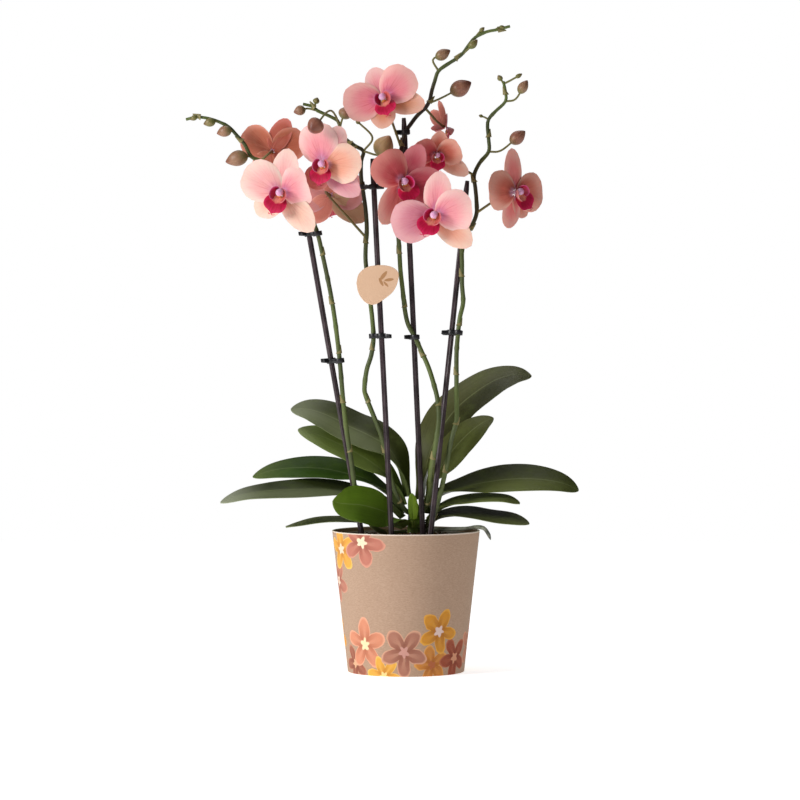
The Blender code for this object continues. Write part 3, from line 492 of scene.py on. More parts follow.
def makeSleeve():
    rim, foot, wall, edge = sleeve["rimRadius"], sleeve["footRadius"], sleeve["wall"], sleeve["edge"]
    lean = (rim - foot) / rimHeight
    outer = [(foot + lean * h, h) for h in (0.0, 1.5, 12, 30, 50, 70, 90, 108, 122)]
    profile = [(1.001, 0), *outer, (rim, rimHeight), (rim - wall, rimHeight), (rim - wall - lean * 8, rimHeight - 8),
               (rim - wall - lean * 60, rimHeight - 60), (foot - wall + lean * sleeve["floor"], sleeve["floor"]),
               (1.001, sleeve["floor"])]
    tree = turnedTree()
    finish = kraftFinish()
    mesh = turnedMesh("sleeve_pot", rounded(profile, edge), sleeve["sides"], tree,
                      {"Seam Angle": math.radians(sleeve["seamAngle"]), "Seam Step": sleeve["seamStep"] * mm,
                       "Finish": finish})
    showMesh("sleeve_pot", mesh, finish, "outer_pot", 50)
    return tree


cardTree = makeSleeve()
print("sleeve pot made")

# the nursery pot's rolled rim inside the sleeve
nursery = {"rimRadius": 61.9, "drop": 5.0, "roll": 1.0, "sides": 128}


def nurseryFinish():
    finish, tree, shader, position = newFinish("nursery_plastic", 0.32, IOR=1.5)
    cloud = noiseField(tree, position, 60.0, 3.0)
    lines = noiseField(tree, stretched(tree, position, (30, 30, 900)), 1.0, 2.0)
    useColour(tree, shader, mixColour(tree, cloud, colour(150, 146, 138), colour(178, 172, 160)))
    setBump(tree, shader, lines, 0.0001, 0.5)
    return finish


def makeNurseryPot():
    finish = nurseryFinish()
    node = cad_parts["nursery_pot"]
    node.data.materials.clear()
    node.data.materials.append(finish)
    node.data.shade_smooth()
    middle, height, roll = nursery["rimRadius"] - 0.1, rimHeight - nursery["drop"] + 0.35, nursery["roll"]
    profile = [(middle + roll * math.cos(a), height + roll * math.sin(a))
               for a in (2 * math.pi * i / 14 for i in range(15))]
    mesh = turnedMesh("nursery_rim", profile, nursery["sides"], cardTree, {"Finish": finish})
    showMesh("nursery_rim", mesh, finish, None)


makeNurseryPot()
print("nursery pot made")

# bark and perlite
bark = {"drop": 10.0, "mound": 5.0, "radius": 59.2, "floor": 3.8, "footRadius": 46.3, "lump": 1.1,
        "sides": 64, "bedInset": 3.5, "bedCells": 24, "rough": 0.9,
        "chipSize": 5.2, "chipCount": 620, "chipSeed": 3, "chipLong": 1.7, "chipThick": 0.45, "chipTilt": 0.45,
        "grainSize": 1.9, "grainCount": 120, "grainSeed": 11, "grainLong": 1.1, "grainThick": 0.9, "grainTilt": 1.0,
        "grainLift": 2.2}
crown = {"at": (8.0, 4.0), "radius": 8.2}


def barkHeight(x, y):  # the bark's top, in millimetres above the pot's rim
    share = math.hypot(x, y) / bark["radius"]
    lumps = noise.noise(Vector((x * 0.09, y * 0.09, 3.1))) + 0.5 * noise.noise(Vector((x * 0.23, y * 0.23, 8.3)))
    return -bark["drop"] + bark["mound"] * (1 - share**2) + lumps * bark["lump"] * (1 - share**6)


def barkFinish(name, dark, light, edge, rough):
    finish, tree, shader, position = newFinish(name, rough)
    cloud = noiseField(tree, position, 120.0, 4.0, 0.6)
    grain = noiseField(tree, stretched(tree, position, (500, 1400, 700)), 1.0, 4.0, 0.6)
    patch = noiseField(tree, position, 45.0, 1.0)
    tone = mixColour(tree, stepped(tree, cloud, 0.35, 0.7), dark, light)
    tone = mixColour(tree, maths(tree, "MULTIPLY", stepped(tree, patch, 0.55, 0.75), 0.6), tone, edge)
    useColour(tree, shader, tone)
    setBump(tree, shader, maths(tree, "ADD", grain, cloud), 0.0006, 0.9)
    return finish


def scatterTree():  # drops roughened chips on a surface, turned at random
    tree, given = newTree("scatteredChips", ("Chip Size", "Float"), ("Count", "Float"), ("Seed", "Int"),
                          ("Length", "Float"),
                          ("Thickness", "Float"), ("Roughness", "Float"), ("Tilt", "Float"), ("Finish", "Material"))
    points = addNode(tree, "GeometryNodeDistributePointsOnFaces", {"distribute_method": "RANDOM"},
                     Mesh=given["Geometry"],
                     Density=given["Count"], Seed=given["Seed"]).outputs
    shape = addNode(tree, "ShaderNodeCombineXYZ", None, X=given["Length"], Y=1.0, Z=given["Thickness"]).outputs[0]
    cube = addNode(tree, "GeometryNodeMeshCube", None, Size=shape, Vertices_X=4, Vertices_Y=3, Vertices_Z=3).outputs[0]
    turn = addNode(tree, "FunctionNodeRandomValue", {"data_type": "FLOAT_VECTOR"}, i0=(-1, -1, -3.14), i1=(1, 1, 3.14),
                   Seed=given["Seed"]).outputs[0]
    tilt = addNode(tree, "ShaderNodeCombineXYZ", None, X=given["Tilt"], Y=given["Tilt"], Z=1.0).outputs[0]
    turn = addNode(tree, "ShaderNodeVectorMath", {"operation": "MULTIPLY"}, i0=turn, i1=tilt).outputs[0]
    turn = addNode(tree, "FunctionNodeEulerToRotation", None, Euler=turn).outputs[0]
    grow = addNode(tree, "FunctionNodeRandomValue", {"data_type": "FLOAT"}, i2=0.45, i3=1.25,
                   Seed=given["Seed"]).outputs[1]
    size = maths(tree, "MULTIPLY", grow, given["Chip Size"])
    chips = addNode(tree, "GeometryNodeInstanceOnPoints", None, Points=points["Points"], Instance=cube, Rotation=turn,
                    Scale=size).outputs[0]
    real = addNode(tree, "GeometryNodeRealizeInstances", None, Geometry=chips).outputs[0]
    place = addNode(tree, "GeometryNodeInputPosition").outputs[0]
    rough = addNode(tree, "ShaderNodeTexNoise", {"noise_dimensions": "3D"}, Vector=place, Scale=190.0,
                    Detail=2.0).outputs["Color"]
    rough = addNode(tree, "ShaderNodeVectorMath", {"operation": "SUBTRACT"}, i0=rough, i1=(0.5, 0.5, 0.5)).outputs[0]
    rough = addNode(tree, "ShaderNodeVectorMath", {"operation": "SCALE"}, i0=rough,
                    Scale=maths(tree, "MULTIPLY", given["Chip Size"], given["Roughness"])).outputs[0]
    real = addNode(tree, "GeometryNodeSetPosition", None, Geometry=real, Offset=rough).outputs[0]
    endTree(tree, real, given["Finish"])
    return tree


def makeBark():
    soil = barkFinish("bark_bed", colour(34, 24, 18), colour(70, 48, 34), colour(96, 70, 48), 0.95)
    chip = barkFinish("bark_chips", colour(58, 38, 28), colour(118, 82, 56), colour(150, 112, 78), 0.9)
    grit = barkFinish("perlite", colour(208, 206, 198), colour(238, 238, 232), colour(190, 184, 170), 0.8)
    store = newStore()
    rings, paints, uvs = [], [], []
    sides = bark["sides"]
    shares = [0.02, *[i / 16 for i in range(1, 17)]]
    slope = (bark["radius"] - bark["footRadius"]) / (rimHeight - bark["drop"] - bark["floor"])
    levels = [(bark["radius"] * share, None) for share in shares]
    for height in (100, 70, 40, 15, bark["floor"]):
        levels.append((bark["footRadius"] + slope * (height - bark["floor"]), height - rimHeight))
    levels.append((2.0, bark["floor"] - rimHeight))
    for radius, height in levels:
        ring = []
        for j in range(sides):
            angle = 2 * math.pi * j / sides
            x, y = radius * math.cos(angle), radius * math.sin(angle)
            ring.append(spot((x, y, barkHeight(x, y) if height is None else height)))
        rings.append(ring)
        paints.append([(1, 1, 1, 1)] * sides)
        uvs.append([(j / sides, radius) for j in range(sides)])
    loft(store, rings, paints, uvs)
    newPiece("bark_bed", store, soil, "bark_medium")

    bed = bpy.data.meshes.new("bed")
    vertices, faces, cells, span = [], [], bark["bedCells"], bark["radius"] - bark["bedInset"]
    for i in range(cells + 1):
        for j in range(cells + 1):
            x, y = (i / cells * 2 - 1), (j / cells * 2 - 1)
            x, y = x * math.sqrt(1 - y * y / 2) * span, y * math.sqrt(1 - x * x / 2) * span
            vertices.append(spot((x, y, barkHeight(x, y) + 0.3)))
    for i in range(cells):
        for j in range(cells):
            a = i * (cells + 1) + j
            faces.append((a, a + cells + 1, a + cells + 2, a + 1))
    bed.from_pydata([tuple(v) for v in vertices], [], faces)
    area = math.pi * (span * mm) ** 2
    tree = scatterTree()
    chips = grown("bark_chips", tree, bed, {
        "Chip Size": bark["chipSize"] * mm, "Count": bark["chipCount"] / area, "Seed": bark["chipSeed"],
        "Length": bark["chipLong"], "Thickness": bark["chipThick"], "Roughness": bark["rough"],
        "Tilt": bark["chipTilt"], "Finish": chip})
    showMesh("bark_chips", chips, chip, "bark_medium", 35)
    grains = grown("perlite", tree, bed, {
        "Chip Size": bark["grainSize"] * mm, "Count": bark["grainCount"] / area, "Seed": bark["grainSeed"],
        "Length": bark["grainLong"], "Thickness": bark["grainThick"], "Roughness": bark["rough"],
        "Tilt": bark["grainTilt"], "Finish": grit})
    grains.transform(Matrix.Translation((0, 0, bark["grainLift"] * mm)))
    showMesh("perlite", grains, grit, "bark_medium", 50)


makeBark()
print("bark made")

# leaves: centre line from base to tip, widest width, roll towards the front, and the blade's colours:
# base, far half and near half, which carry painted light and shade, and tip, which is partly a painted sheen
leaves = {
    "leaf_left_upper": dict(
        width=46, roll=33, tonesWithPaintedLight=((80, 94, 26), (54, 60, 22), (112, 120, 80), (136, 142, 112)),
        route=[(0, 5, 30), (-3, 7, 46), (-8, 11, 61), (-17, 17, 74), (-33, 22, 84), (-51, 28, 92), (-69, 33, 101),
               (-87, 37, 107), (-105, 39, 108)]),
    "leaf_left_second": dict(
        width=38, roll=30, tonesWithPaintedLight=((98, 118, 36), (88, 102, 40), (124, 142, 70), (140, 152, 104)),
        route=[(-3, 5, 22), (-8, 6, 37), (-17, 8, 49), (-31, 12, 60), (-46, 16, 69), (-62, 19, 77), (-78, 21, 84),
               (-98, 22, 90)]),
    "leaf_left_middle": dict(
        width=42, roll=24, tonesWithPaintedLight=((62, 82, 16), (44, 68, 8), (52, 82, 8), (100, 114, 66)),
        route=[(-4, 4, 16.5), (-13, 4, 30), (-25, 4, 39), (-40, 6, 47), (-55, 10, 50.5), (-73, 14, 54),
               (-96, 18, 55), (-118, 21, 53), (-139, 22, 47)]),
    "leaf_left_long": dict(
        width=44, roll=18, tonesWithPaintedLight=((66, 78, 26), (50, 58, 22), (110, 118, 82), (176, 180, 156)),
        route=[(-4, 3, 11), (-19, 1, 25), (-34, -1, 30), (-55, -5, 35), (-77, -12, 37), (-100, -19, 37),
               (-122, -22, 36), (-144, -22, 33), (-166, -22, 26)]),
    "leaf_front": dict(
        width=38, roll=64, inward=50, tonesWithPaintedLight=((128, 156, 46), (104, 136, 34), (86, 114, 28), (100, 124, 40)),
        route=[(-1.5, -6, 4), (-9, -14, 9.5), (-18, -24, 17), (-30, -36, 22), (-41, -45, 25), (-51, -51, 26),
               (-59, -54, 27), (-65, -56, 29)]),
    "leaf_left_low": dict(
        width=28, roll=8, tonesWithPaintedLight=((96, 106, 50), (106, 114, 66), (118, 128, 76), (136, 142, 104)),
        route=[(-3, 7, 2), (-14, 9, 5), (-33, 12, 7), (-55, 14, 8), (-82, 16, 7), (-109, 17, 2)]),
    "leaf_right_upper": dict(
        width=46, roll=31, tonesWithPaintedLight=((66, 70, 22), (88, 90, 52), (58, 60, 26), (98, 100, 66)),
        route=[(15, 12, 29), (17, 19, 44), (20, 26, 61), (26, 32, 79), (35, 37, 94), (47, 41, 109), (64, 45, 123),
               (82, 48, 134), (100, 50, 139), (115, 51, 138)]),
    "leaf_right_second": dict(
        width=34, roll=32, tonesWithPaintedLight=((84, 90, 34), (90, 94, 46), (76, 82, 34), (94, 98, 52)),
        route=[(19, 2, 22), (22, -1, 38), (28, -2, 50), (36, -1, 63), (46, 1, 76), (58, 3, 88), (69, 5, 96),
               (79, 6, 101)]),
    "leaf_right_long": dict(
        width=46, roll=28, tonesWithPaintedLight=((78, 90, 20), (62, 68, 22), (96, 104, 46), (70, 76, 34)),
        route=[(20, 4, 15), (25, 3, 27), (35, 2, 34), (50, 1, 38), (68, 0, 42), (87, -2, 45), (106, -4, 46),
               (125, -6, 45), (141, -8, 42), (155, -9, 36)]),
    "leaf_right_small": dict(
        width=30, roll=14, tonesWithPaintedLight=((100, 112, 48), (106, 116, 58), (122, 132, 70), (110, 116, 66)),
        route=[(20, 0, 8), (28, -3, 18), (40, -5, 24), (56, -9, 27), (73, -13, 29), (89, -16, 29), (102, -18, 25)]),
    "leaf_right_low": dict(
        width=36, roll=16, tonesWithPaintedLight=((36, 38, 20), (42, 42, 26), (104, 110, 60), (134, 138, 96)),
        route=[(19, 3, 3), (28, 1, 11), (41, -1, 14), (59, -2, 14), (77, -3, 12), (95, -4, 10), (111, -5, 6)]),
    "young_leaf": dict(
        width=9, roll=80, inward=85, tonesWithPaintedLight=((166, 190, 64), (144, 176, 52), (136, 168, 50), (122, 152, 48)),
        route=[(6.5, -8, 3), (6.5, -9.5, 14), (6, -11, 25), (5, -14, 34)]),
}
blade = {"thick": 2.1, "edge": 0.55, "rows": 56, "cells": 16, "keel": 1.0, "groove": 0.55, "wave": 0.7}


def leafFinish():
    finish, tree, shader, position = newFinish("leaf_skin", 0.4, Specular_IOR_Level=0.16)
    across = addNode(tree, "ShaderNodeSeparateXYZ", None, Vector=addNode(tree, "ShaderNodeUVMap").outputs[0]).outputs
    vein = noiseField(tree, stretched(tree, addNode(tree, "ShaderNodeUVMap").outputs[0], (70, 2.2, 1)), 1.0, 2.0, 0.5)
    mottle = noiseField(tree, position, 55.0, 4.0, 0.6)
    pores = noiseField(tree, position, 1600.0, 1.0)
    tone = painted(tree)
    deep = mixColour(tree, 1.0, tone, (0.68, 0.74, 0.62, 1), "MULTIPLY")
    light = mixColour(tree, 0.16, tone, colour(150, 176, 84))
    tone = mixColour(tree, maths(tree, "MULTIPLY", stepped(tree, vein, 0.35, 0.65), 0.4), tone, deep)
    tone = mixColour(tree, maths(tree, "MULTIPLY", stepped(tree, mottle, 0.45, 0.75), 0.5), tone, light)
    rib = maths(tree, "ABSOLUTE", maths(tree, "SUBTRACT", across["X"], 0.5))
    tone = mixColour(tree, stepped(tree, rib, 0.004, 0.022, 0.5, 0.0), tone,
                     mixColour(tree, 0.35, tone, colour(186, 196, 140)))
    useColour(tree, shader, tone)
    tree.links.new(stepped(tree, mottle, 0.3, 0.8, 0.36, 0.5), shader.inputs["Roughness"])
    height = maths(tree, "ADD", maths(tree, "MULTIPLY", vein, 0.7), maths(tree, "MULTIPLY", pores, 0.12))
    setBump(tree, shader, height, 0.00035, 0.7)
    return finish


def leafWidth(share):
    width = 0.40 + 0.60 * ease(share / 0.55)
    if share > 0.6:
        width *= max(0.0, 1 - ((share - 0.6) / 0.4) ** 2.4) ** 0.62
    return max(width, 0.03)


def addLeaf(store, leaf, seed):
    path = smoothPath([spot(place) for place in leaf["route"]], 1.5 * mm)
    onLeft = leaf["route"][0][0] < crown["at"][0]
    inward = math.radians(leaf.get("inward", 0 if onLeft else 180))
    upright = Vector((math.cos(inward) * 0.8, math.sin(inward) * 0.8, 0.6))
    roll = math.radians(leaf["roll"])
    rolled = Vector((0, -math.sin(roll), math.cos(roll)))
    base, far, near, tip = (colour(*tint) for tint in leaf["tonesWithPaintedLight"])
    lengths = lengthsOf(path)
    rings, paints, uvs = [], [], []
    cells = blade["cells"]
    for i in range(blade["rows"] + 1):
        share = 1 - (1 - i / blade["rows"]) ** 1.25
        at = share * lengths[-1]
        index = min(next((k for k, value in enumerate(lengths) if value >= at), len(path) - 1), len(path) - 1)
        before, after = path[max(index - 2, 0)], path[min(index + 2, len(path) - 1)]
        along = (after - before).normalized()
        low = path[max(index - 1, 0)]
        gap = lengths[index] - lengths[max(index - 1, 0)]
        centre = low.lerp(path[index], (at - lengths[max(index - 1, 0)]) / gap) if gap else path[index]
        look = upright.lerp(rolled, ease(share / 0.45))
        side = look.cross(along).normalized()
        up = along.cross(side)
        half = leaf["width"] / 2 * leafWidth(share)
        fold = 0.45 * (1 - share) ** 3 + 0.06
        top, under, topPaint, underPaint, topUv, underUv = [], [], [], [], [], []
        for j in range(cells + 1):
            v = math.sin((j / cells * 2 - 1) * math.pi / 2)
            ripple = math.sin(share * 9 + seed * 1.7 + v) * blade["wave"] * v * v * ease(share / 0.3) * half / 20
            lift = abs(v) ** 1.5 * half * fold + ripple
            thick = blade["edge"] + (blade["thick"] - blade["edge"]) * (1 - v * v) * (0.55 + 0.45 * min(half / 12, 1))
            keel = math.exp(-(v / 0.13) ** 2) * (1 - 0.7 * share)
            point = centre + (side * v * half) * mm
            top.append(point + up * (lift + thick / 2 - keel * blade["groove"]) * mm)
            under.append(point + up * (lift - thick / 2 - keel * blade["keel"]) * mm)
            towards = v if onLeft else -v
            # painted light and shade: one half of the blade is painted lighter and the other darker, as the lamps fall
            # on them
            tone = between(far, near, ease(0.5 + towards * 1.6))
            tone = between(base, tone, ease((share - 0.02) / 0.3))
            # the tip colour is partly the leaf's own and partly a painted sheen
            tone = between(tone, tip, ease((share - 0.72) / 0.3) * 0.8)
            topPaint.append(tone)
            underPaint.append(between(tone, colour(122, 134, 88), 0.45))
            topUv.append((0.5 + v * 0.5, share))
            underUv.append((0.5 + v * 0.5, share))
        rings.append(top + under[::-1])
        paints.append(topPaint + underPaint[::-1])
        uvs.append(topUv + underUv[::-1])
    loft(store, rings, paints, uvs, "strip")


def makeLeaves():
    finish = leafFinish()
    for seed, (name, leaf) in enumerate(leaves.items()):
        store = newStore()
        addLeaf(store, leaf, seed)
        newPiece(name + "_blade", store, finish, name,
                 50)
    return finish


leafSkin = makeLeaves()
print("leaves made")

# crown with clasping leaf bases and young shoots
sheaths = [  # heading, height of the tip, width, lean
    (200, 21, 12, 3.0), (340, 20, 12, 3.5), (250, 17, 10, 4.0), (300, 24, 10, 2.5), (30, 18, 12, 3.0),
    (150, 19, 12, 3.0),
    (272, 13, 9, 5.0), (225, 10, 9, 4.5), (318, 11, 9, 5.0)]


def makeCrown():
    store = newStore()
    x, y = crown["at"]
    core = [spot((x, y, h)) for h in (-24, -14, -6, 0, 6, 12, 17, 20)]
    lowTone, highTone = colour(96, 84, 48), colour(128, 156, 62)
    addTube(store, core, lambda share, length: (7.6 - 3.4 * share**2) * mm, lambda share,
            angle: between(lowTone, highTone, share * 1.3), 20, 0.06, 4)
    for heading, top, width, lean in sheaths:
        angle = math.radians(heading)
        out = Vector((math.cos(angle), math.sin(angle), 0))
        side = Vector((-math.sin(angle), math.cos(angle), 0))
        rings, paints, uvs = [], [], []
        for i in range(15):
            t = i / 14
            half = width / 2 * (1 - t**2.2) ** 0.6 + 0.15
            reach = crown["radius"] - 1.2 - 2.6 * t + lean * t * t
            level = -6 + (top + 6) * t
            front, back, frontUv = [], [], []
            for j in range(9):
                v = j / 8 * 2 - 1
                bend = (1 - v * v) * 2.2 * (1 - 0.3 * t)
                at = Vector((x, y, 0)) + out * (reach - 2.2 + bend) + side * v * half
                front.append(spot((at.x, at.y, level)))
                back.append(spot((at.x - out.x * 0.9, at.y - out.y * 0.9, level)))
                frontUv.append((0.5 + v * 0.4, t * 0.5))
            tone = between(colour(104, 116, 58), colour(136, 172, 64), ease(t * 1.4))
            rings.append(front + back[::-1])
            paints.append([tone] * 18)
            uvs.append(frontUv + frontUv[::-1])
        loft(store, rings, paints, uvs, "strip")
    newPiece("crown_base", store, leafSkin, "crown")


makeCrown()

# aerial root over the rim
root = {"radius": 2.0, "route": [(17.9, 0, 0.5), (31.9, -5, 1), (52.5, -10, 2), (62.5, -11, 3.4), (69.5, -11, 2.6),
                                 (73.5, -11, -2), (76, -11, -8)]}


def rootFinish():
    finish, tree, shader, position = newFinish("root_skin", 0.7)
    cloud = noiseField(tree, position, 260.0, 4.0, 0.6)
    rings = noiseField(tree, stretched(tree, addNode(tree, "ShaderNodeUVMap").outputs[0], (3, 30, 1)), 1.0, 2.0)
    tone = mixColour(tree, stepped(tree, cloud, 0.3, 0.7), painted(tree),
                     mixColour(tree, 0.5, painted(tree), colour(196, 198, 180)))
    useColour(tree, shader, tone)
    setBump(tree, shader, maths(tree, "ADD", cloud, rings), 0.0004, 0.8)
    return finish


def makeRoot():
    store = newStore()
    path = smoothPath([spot(place) for place in root["route"]], 2.0 * mm)
    grey, tip = colour(126, 132, 112), colour(46, 52, 44)
    wide = root["radius"] * mm

    def radius(share, length):
        swell = 1 + 0.12 * noise.noise(Vector((length * 90, 2, 5)))
        return wide * swell * (1 - 0.15 * share) * math.sqrt(max(0.03, min(1, (1 - share) * 14)))
    addTube(store, path, radius, lambda share, angle: between(grey, tip, ease((share - 0.72) / 0.14)), 14)
    newPiece("aerial_root_skin", store, rootFinish(), "aerial_root")


makeRoot()
print("crown and root made")

# sticks: dark, finely ribbed, each from a line
sticks = {
    "left_stick": ((-87, -32, 269), (-40, -24, 0)),
    "centre_left_stick": ((-30, -26, 333), (-13, -42, 0)),
    "centre_right_stick": ((-2, -14, 370), (15, -17, 0)),
    "right_stick": ((55, -8, 314), (22, -38, 0)),
}
stickShape = {"radius": 2.5, "rib": 0.28, "ribs": 9, "deep": 60.0, "rows": 48}


def stickTree():
    tree, given = newTree("ribbedStick", ("Radius", "Float"), ("Rib Depth", "Float"), ("Ribs", "Int"), ("Rows", "Int"),
                          ("Finish", "Material"))
    line = addNode(tree, "GeometryNodeMeshToCurve", None, Mesh=given["Geometry"]).outputs[0]
    line = addNode(tree, "GeometryNodeResampleCurve", None, Curve=line, Count=given["Rows"]).outputs[0]
    along = addNode(tree, "GeometryNodeSplineParameter").outputs["Factor"]
    turn = maths(tree, "MULTIPLY", along, 1.2)
    line = addNode(tree, "GeometryNodeSetCurveTilt", None, Curve=line, Tilt=turn).outputs[0]
    inner = maths(tree, "SUBTRACT", given["Radius"], given["Rib Depth"])
    star = addNode(tree, "GeometryNodeCurveStar", None, Points=given["Ribs"], Inner_Radius=inner,
                   Outer_Radius=given["Radius"]).outputs[0]
    star = addNode(tree, "GeometryNodeResampleCurve", None, Curve=star, Count=54).outputs[0]
    worn = stepped(tree, along, 0.992, 1.0, 1.0, 0.72)
    body = addNode(tree, "GeometryNodeCurveToMesh", None, Curve=line, Profile_Curve=star, Scale=worn,
                   Fill_Caps=True).outputs[0]
    endTree(tree, body, given["Finish"])
    return tree


def stickLine(name):
    top, entry = (spot(place) for place in sticks[name])
    down = (entry - top).normalized()
    return top, entry + down * (stickShape["deep"] * mm / -down.z)


def stickFinish():
    finish, tree, shader, position = newFinish("stick_finish", 0.42, Specular_IOR_Level=0.35)
    cloud = noiseField(tree, position, 70.0, 3.0, 0.6)
    streak = noiseField(tree, stretched(tree, position, (900, 900, 18)), 1.0, 3.0, 0.6)
    tone = mixColour(tree, stepped(tree, cloud, 0.3, 0.72), colour(40, 30, 34), colour(72, 58, 62))
    useColour(tree, shader, mixColour(tree, maths(tree, "MULTIPLY", stepped(tree, streak, 0.5, 0.75), 0.45), tone,
                                      colour(104, 90, 92)))
    setBump(tree, shader, streak, 0.0002, 0.6)
    return finish


def makeSticks():
    finish, tree = stickFinish(), stickTree()
    for name in sticks:
        top, foot = stickLine(name)
        count = 12
        base = lineMesh(name + "_line", [foot.lerp(top, i / count) for i in range(count + 1)])
        mesh = grown(name + "_ribbed", tree, base, {"Radius": stickShape["radius"] * mm,
                                                    "Rib Depth": stickShape["rib"] * mm,
                                                    "Ribs": stickShape["ribs"], "Rows": stickShape["rows"],
                                                    "Finish": finish})
        showMesh(name + "_ribbed", closedRound(mesh), finish, name, 40)


makeSticks()
print("sticks made")

# flowers: where each is, which way it faces, its size, how far it cups, and the headings of its top sepal,
# right and left petal, right and left sepal and lip
flowers = {
    "flower_1": dict(
        at=(-110, -52, 301), azimuth=-16, elevation=-6, size=38, cup=12,
        headings=(78, 22, 148, -49, -143, -112), lengths=(1.0, 0.68, 0.98, 1.1, 0.74),
        tones=("pale", "soft", "pale", "cream", "cream")),
    "flower_2": dict(
        at=(-73, -52, 326), azimuth=-14, elevation=-4, size=36, cup=14,
        headings=(62, 4, 100, -40, -118, -95), lengths=(1.0, 0.93, 1.0, 1.1, 0.6),
        tones=("soft", "peach", "soft", "mauve", "brick")),
    "flower_3": dict(
        at=(-20, -38, 385), azimuth=-6, elevation=4, size=35, cup=12,
        headings=(109, 45, 187, -8, -92, -72), lengths=(0.8, 0.96, 0.98, 1.0, 0.7),
        tones=("soft", "pink", "pink", "sand", "sand")),
    "flower_4": dict(
        at=(-3, -48, 311), azimuth=18, elevation=-6, size=36, cup=20,
        headings=(66, -10, 138, -62, -118, -68), lengths=(0.95, 1.0, 0.92, 0.85, 1.1),
        tones=("rose", "rose", "brick", "brick", "coral")),
    "flower_5": dict(
        at=(27, -24, 336), azimuth=12, elevation=-16, size=25, cup=30,
        headings=(86, 20, 160, -28, -140, -88), lengths=(0.85, 0.78, 0.9, 1.2, 0.7),
        tones=("rust", "rust", "brick", "peach", "brick")),
    "flower_6": dict(
        at=(25, -64, 281), azimuth=-10, elevation=-6, size=38, cup=12,
        headings=(81, 14, 193, -39, -148, -119), lengths=(0.98, 0.88, 0.98, 1.05, 0.65),
        tones=("soft", "soft", "mauve", "peach", "mauve")),
    "flower_7": dict(
        at=(97, -22, 303), azimuth=48, elevation=-4, size=36, cup=5,
        headings=(100, 2, 176, -44, -100, -52), lengths=(1.05, 1.1, 0.98, 0.75, 0.85),
        tones=("coral", "rust", "rust", "rust", "coral")),
    "flower_8": dict(
        at=(-120, -14, 340), azimuth=168, elevation=12, size=30, cup=22,
        headings=(117, 30, 160, -50, -130, -63), lengths=(1.0, 1.0, 1.0, 0.85, 0.85),
        tones=("brick", "rust", "rust", "rust", "brick")),
    "flower_9": dict(
        at=(-68, -6, 301), azimuth=160, elevation=-10, size=36, cup=12,
        headings=(100, 8, 166, -50, -148, -80), lengths=(0.85, 0.8, 0.85, 0.8, 1.1),
        tones=("coral", "mauve", "mauve", "coral", "tan")),
    "flower_10": dict(
        at=(35, -3, 362), azimuth=110, elevation=-35, size=22, cup=-45, slim=0.6,
        headings=(62, 26, 130, -25, -110, -88), lengths=(1.0, 1.0, 0.5, 0.5, 0.4),
        tones=("coral", "coral", "rose", "rose", "rose")),
}
joinedFlowers = ("flower_8", "flower_9", "flower_10")
bloom = {"petalWidth": 0.94, "sepalWidth": 0.64, "thick": 0.75, "edge": 0.3, "rows": 20, "cells": 22, "stalkBack": 2.6,
         "sepalCup": 0.6, "joinedCup": 0.7, "heart": (244, 206, 238)}
petalTones = {  # throat, middle, margin and back of a petal
    "pale": ((230, 156, 176), (248, 178, 176), (250, 212, 200), (226, 158, 140)),
    "cream": ((214, 150, 120), (240, 188, 166), (250, 212, 194), (226, 170, 146)),
    "soft": ((226, 122, 162), (248, 158, 166), (251, 200, 194), (220, 136, 126)),
    "pink": ((218, 100, 144), (242, 140, 150), (248, 186, 178), (216, 122, 114)),
    "mauve": ((176, 84, 120), (208, 124, 142), (234, 172, 176), (204, 130, 126)),
    "peach": ((206, 120, 84), (240, 166, 140), (248, 204, 184), (220, 152, 126)),
    "sand": ((160, 80, 44), (214, 140, 104), (246, 190, 168), (206, 132, 104)),
    "coral": ((214, 96, 96), (234, 128, 124), (244, 176, 162), (204, 118, 100)),
    "rose": ((168, 36, 66), (202, 78, 96), (232, 136, 142), (190, 96, 90)),
    "brick": ((178, 44, 60), (198, 74, 80), (232, 142, 132), (184, 92, 72)),
    "rust": ((156, 58, 42), (204, 104, 84), (236, 170, 150), (190, 106, 78)),
    "tan": ((150, 98, 62), (190, 148, 116), (220, 180, 152), (190, 150, 116)),
}


def facing(flower):  # +Z out of the flower's face, +Y up
    azimuth, elevation = math.radians(flower["azimuth"]), math.radians(flower["elevation"])
    out = Vector((math.sin(azimuth) * math.cos(elevation), -math.cos(azimuth) * math.cos(elevation),
                  math.sin(elevation)))
    right = Vector((0, 0, 1)).cross(out).normalized()
    return Matrix.Translation(spot(flower["at"])) @ Matrix((right, out.cross(right), out)).transposed().to_4x4()


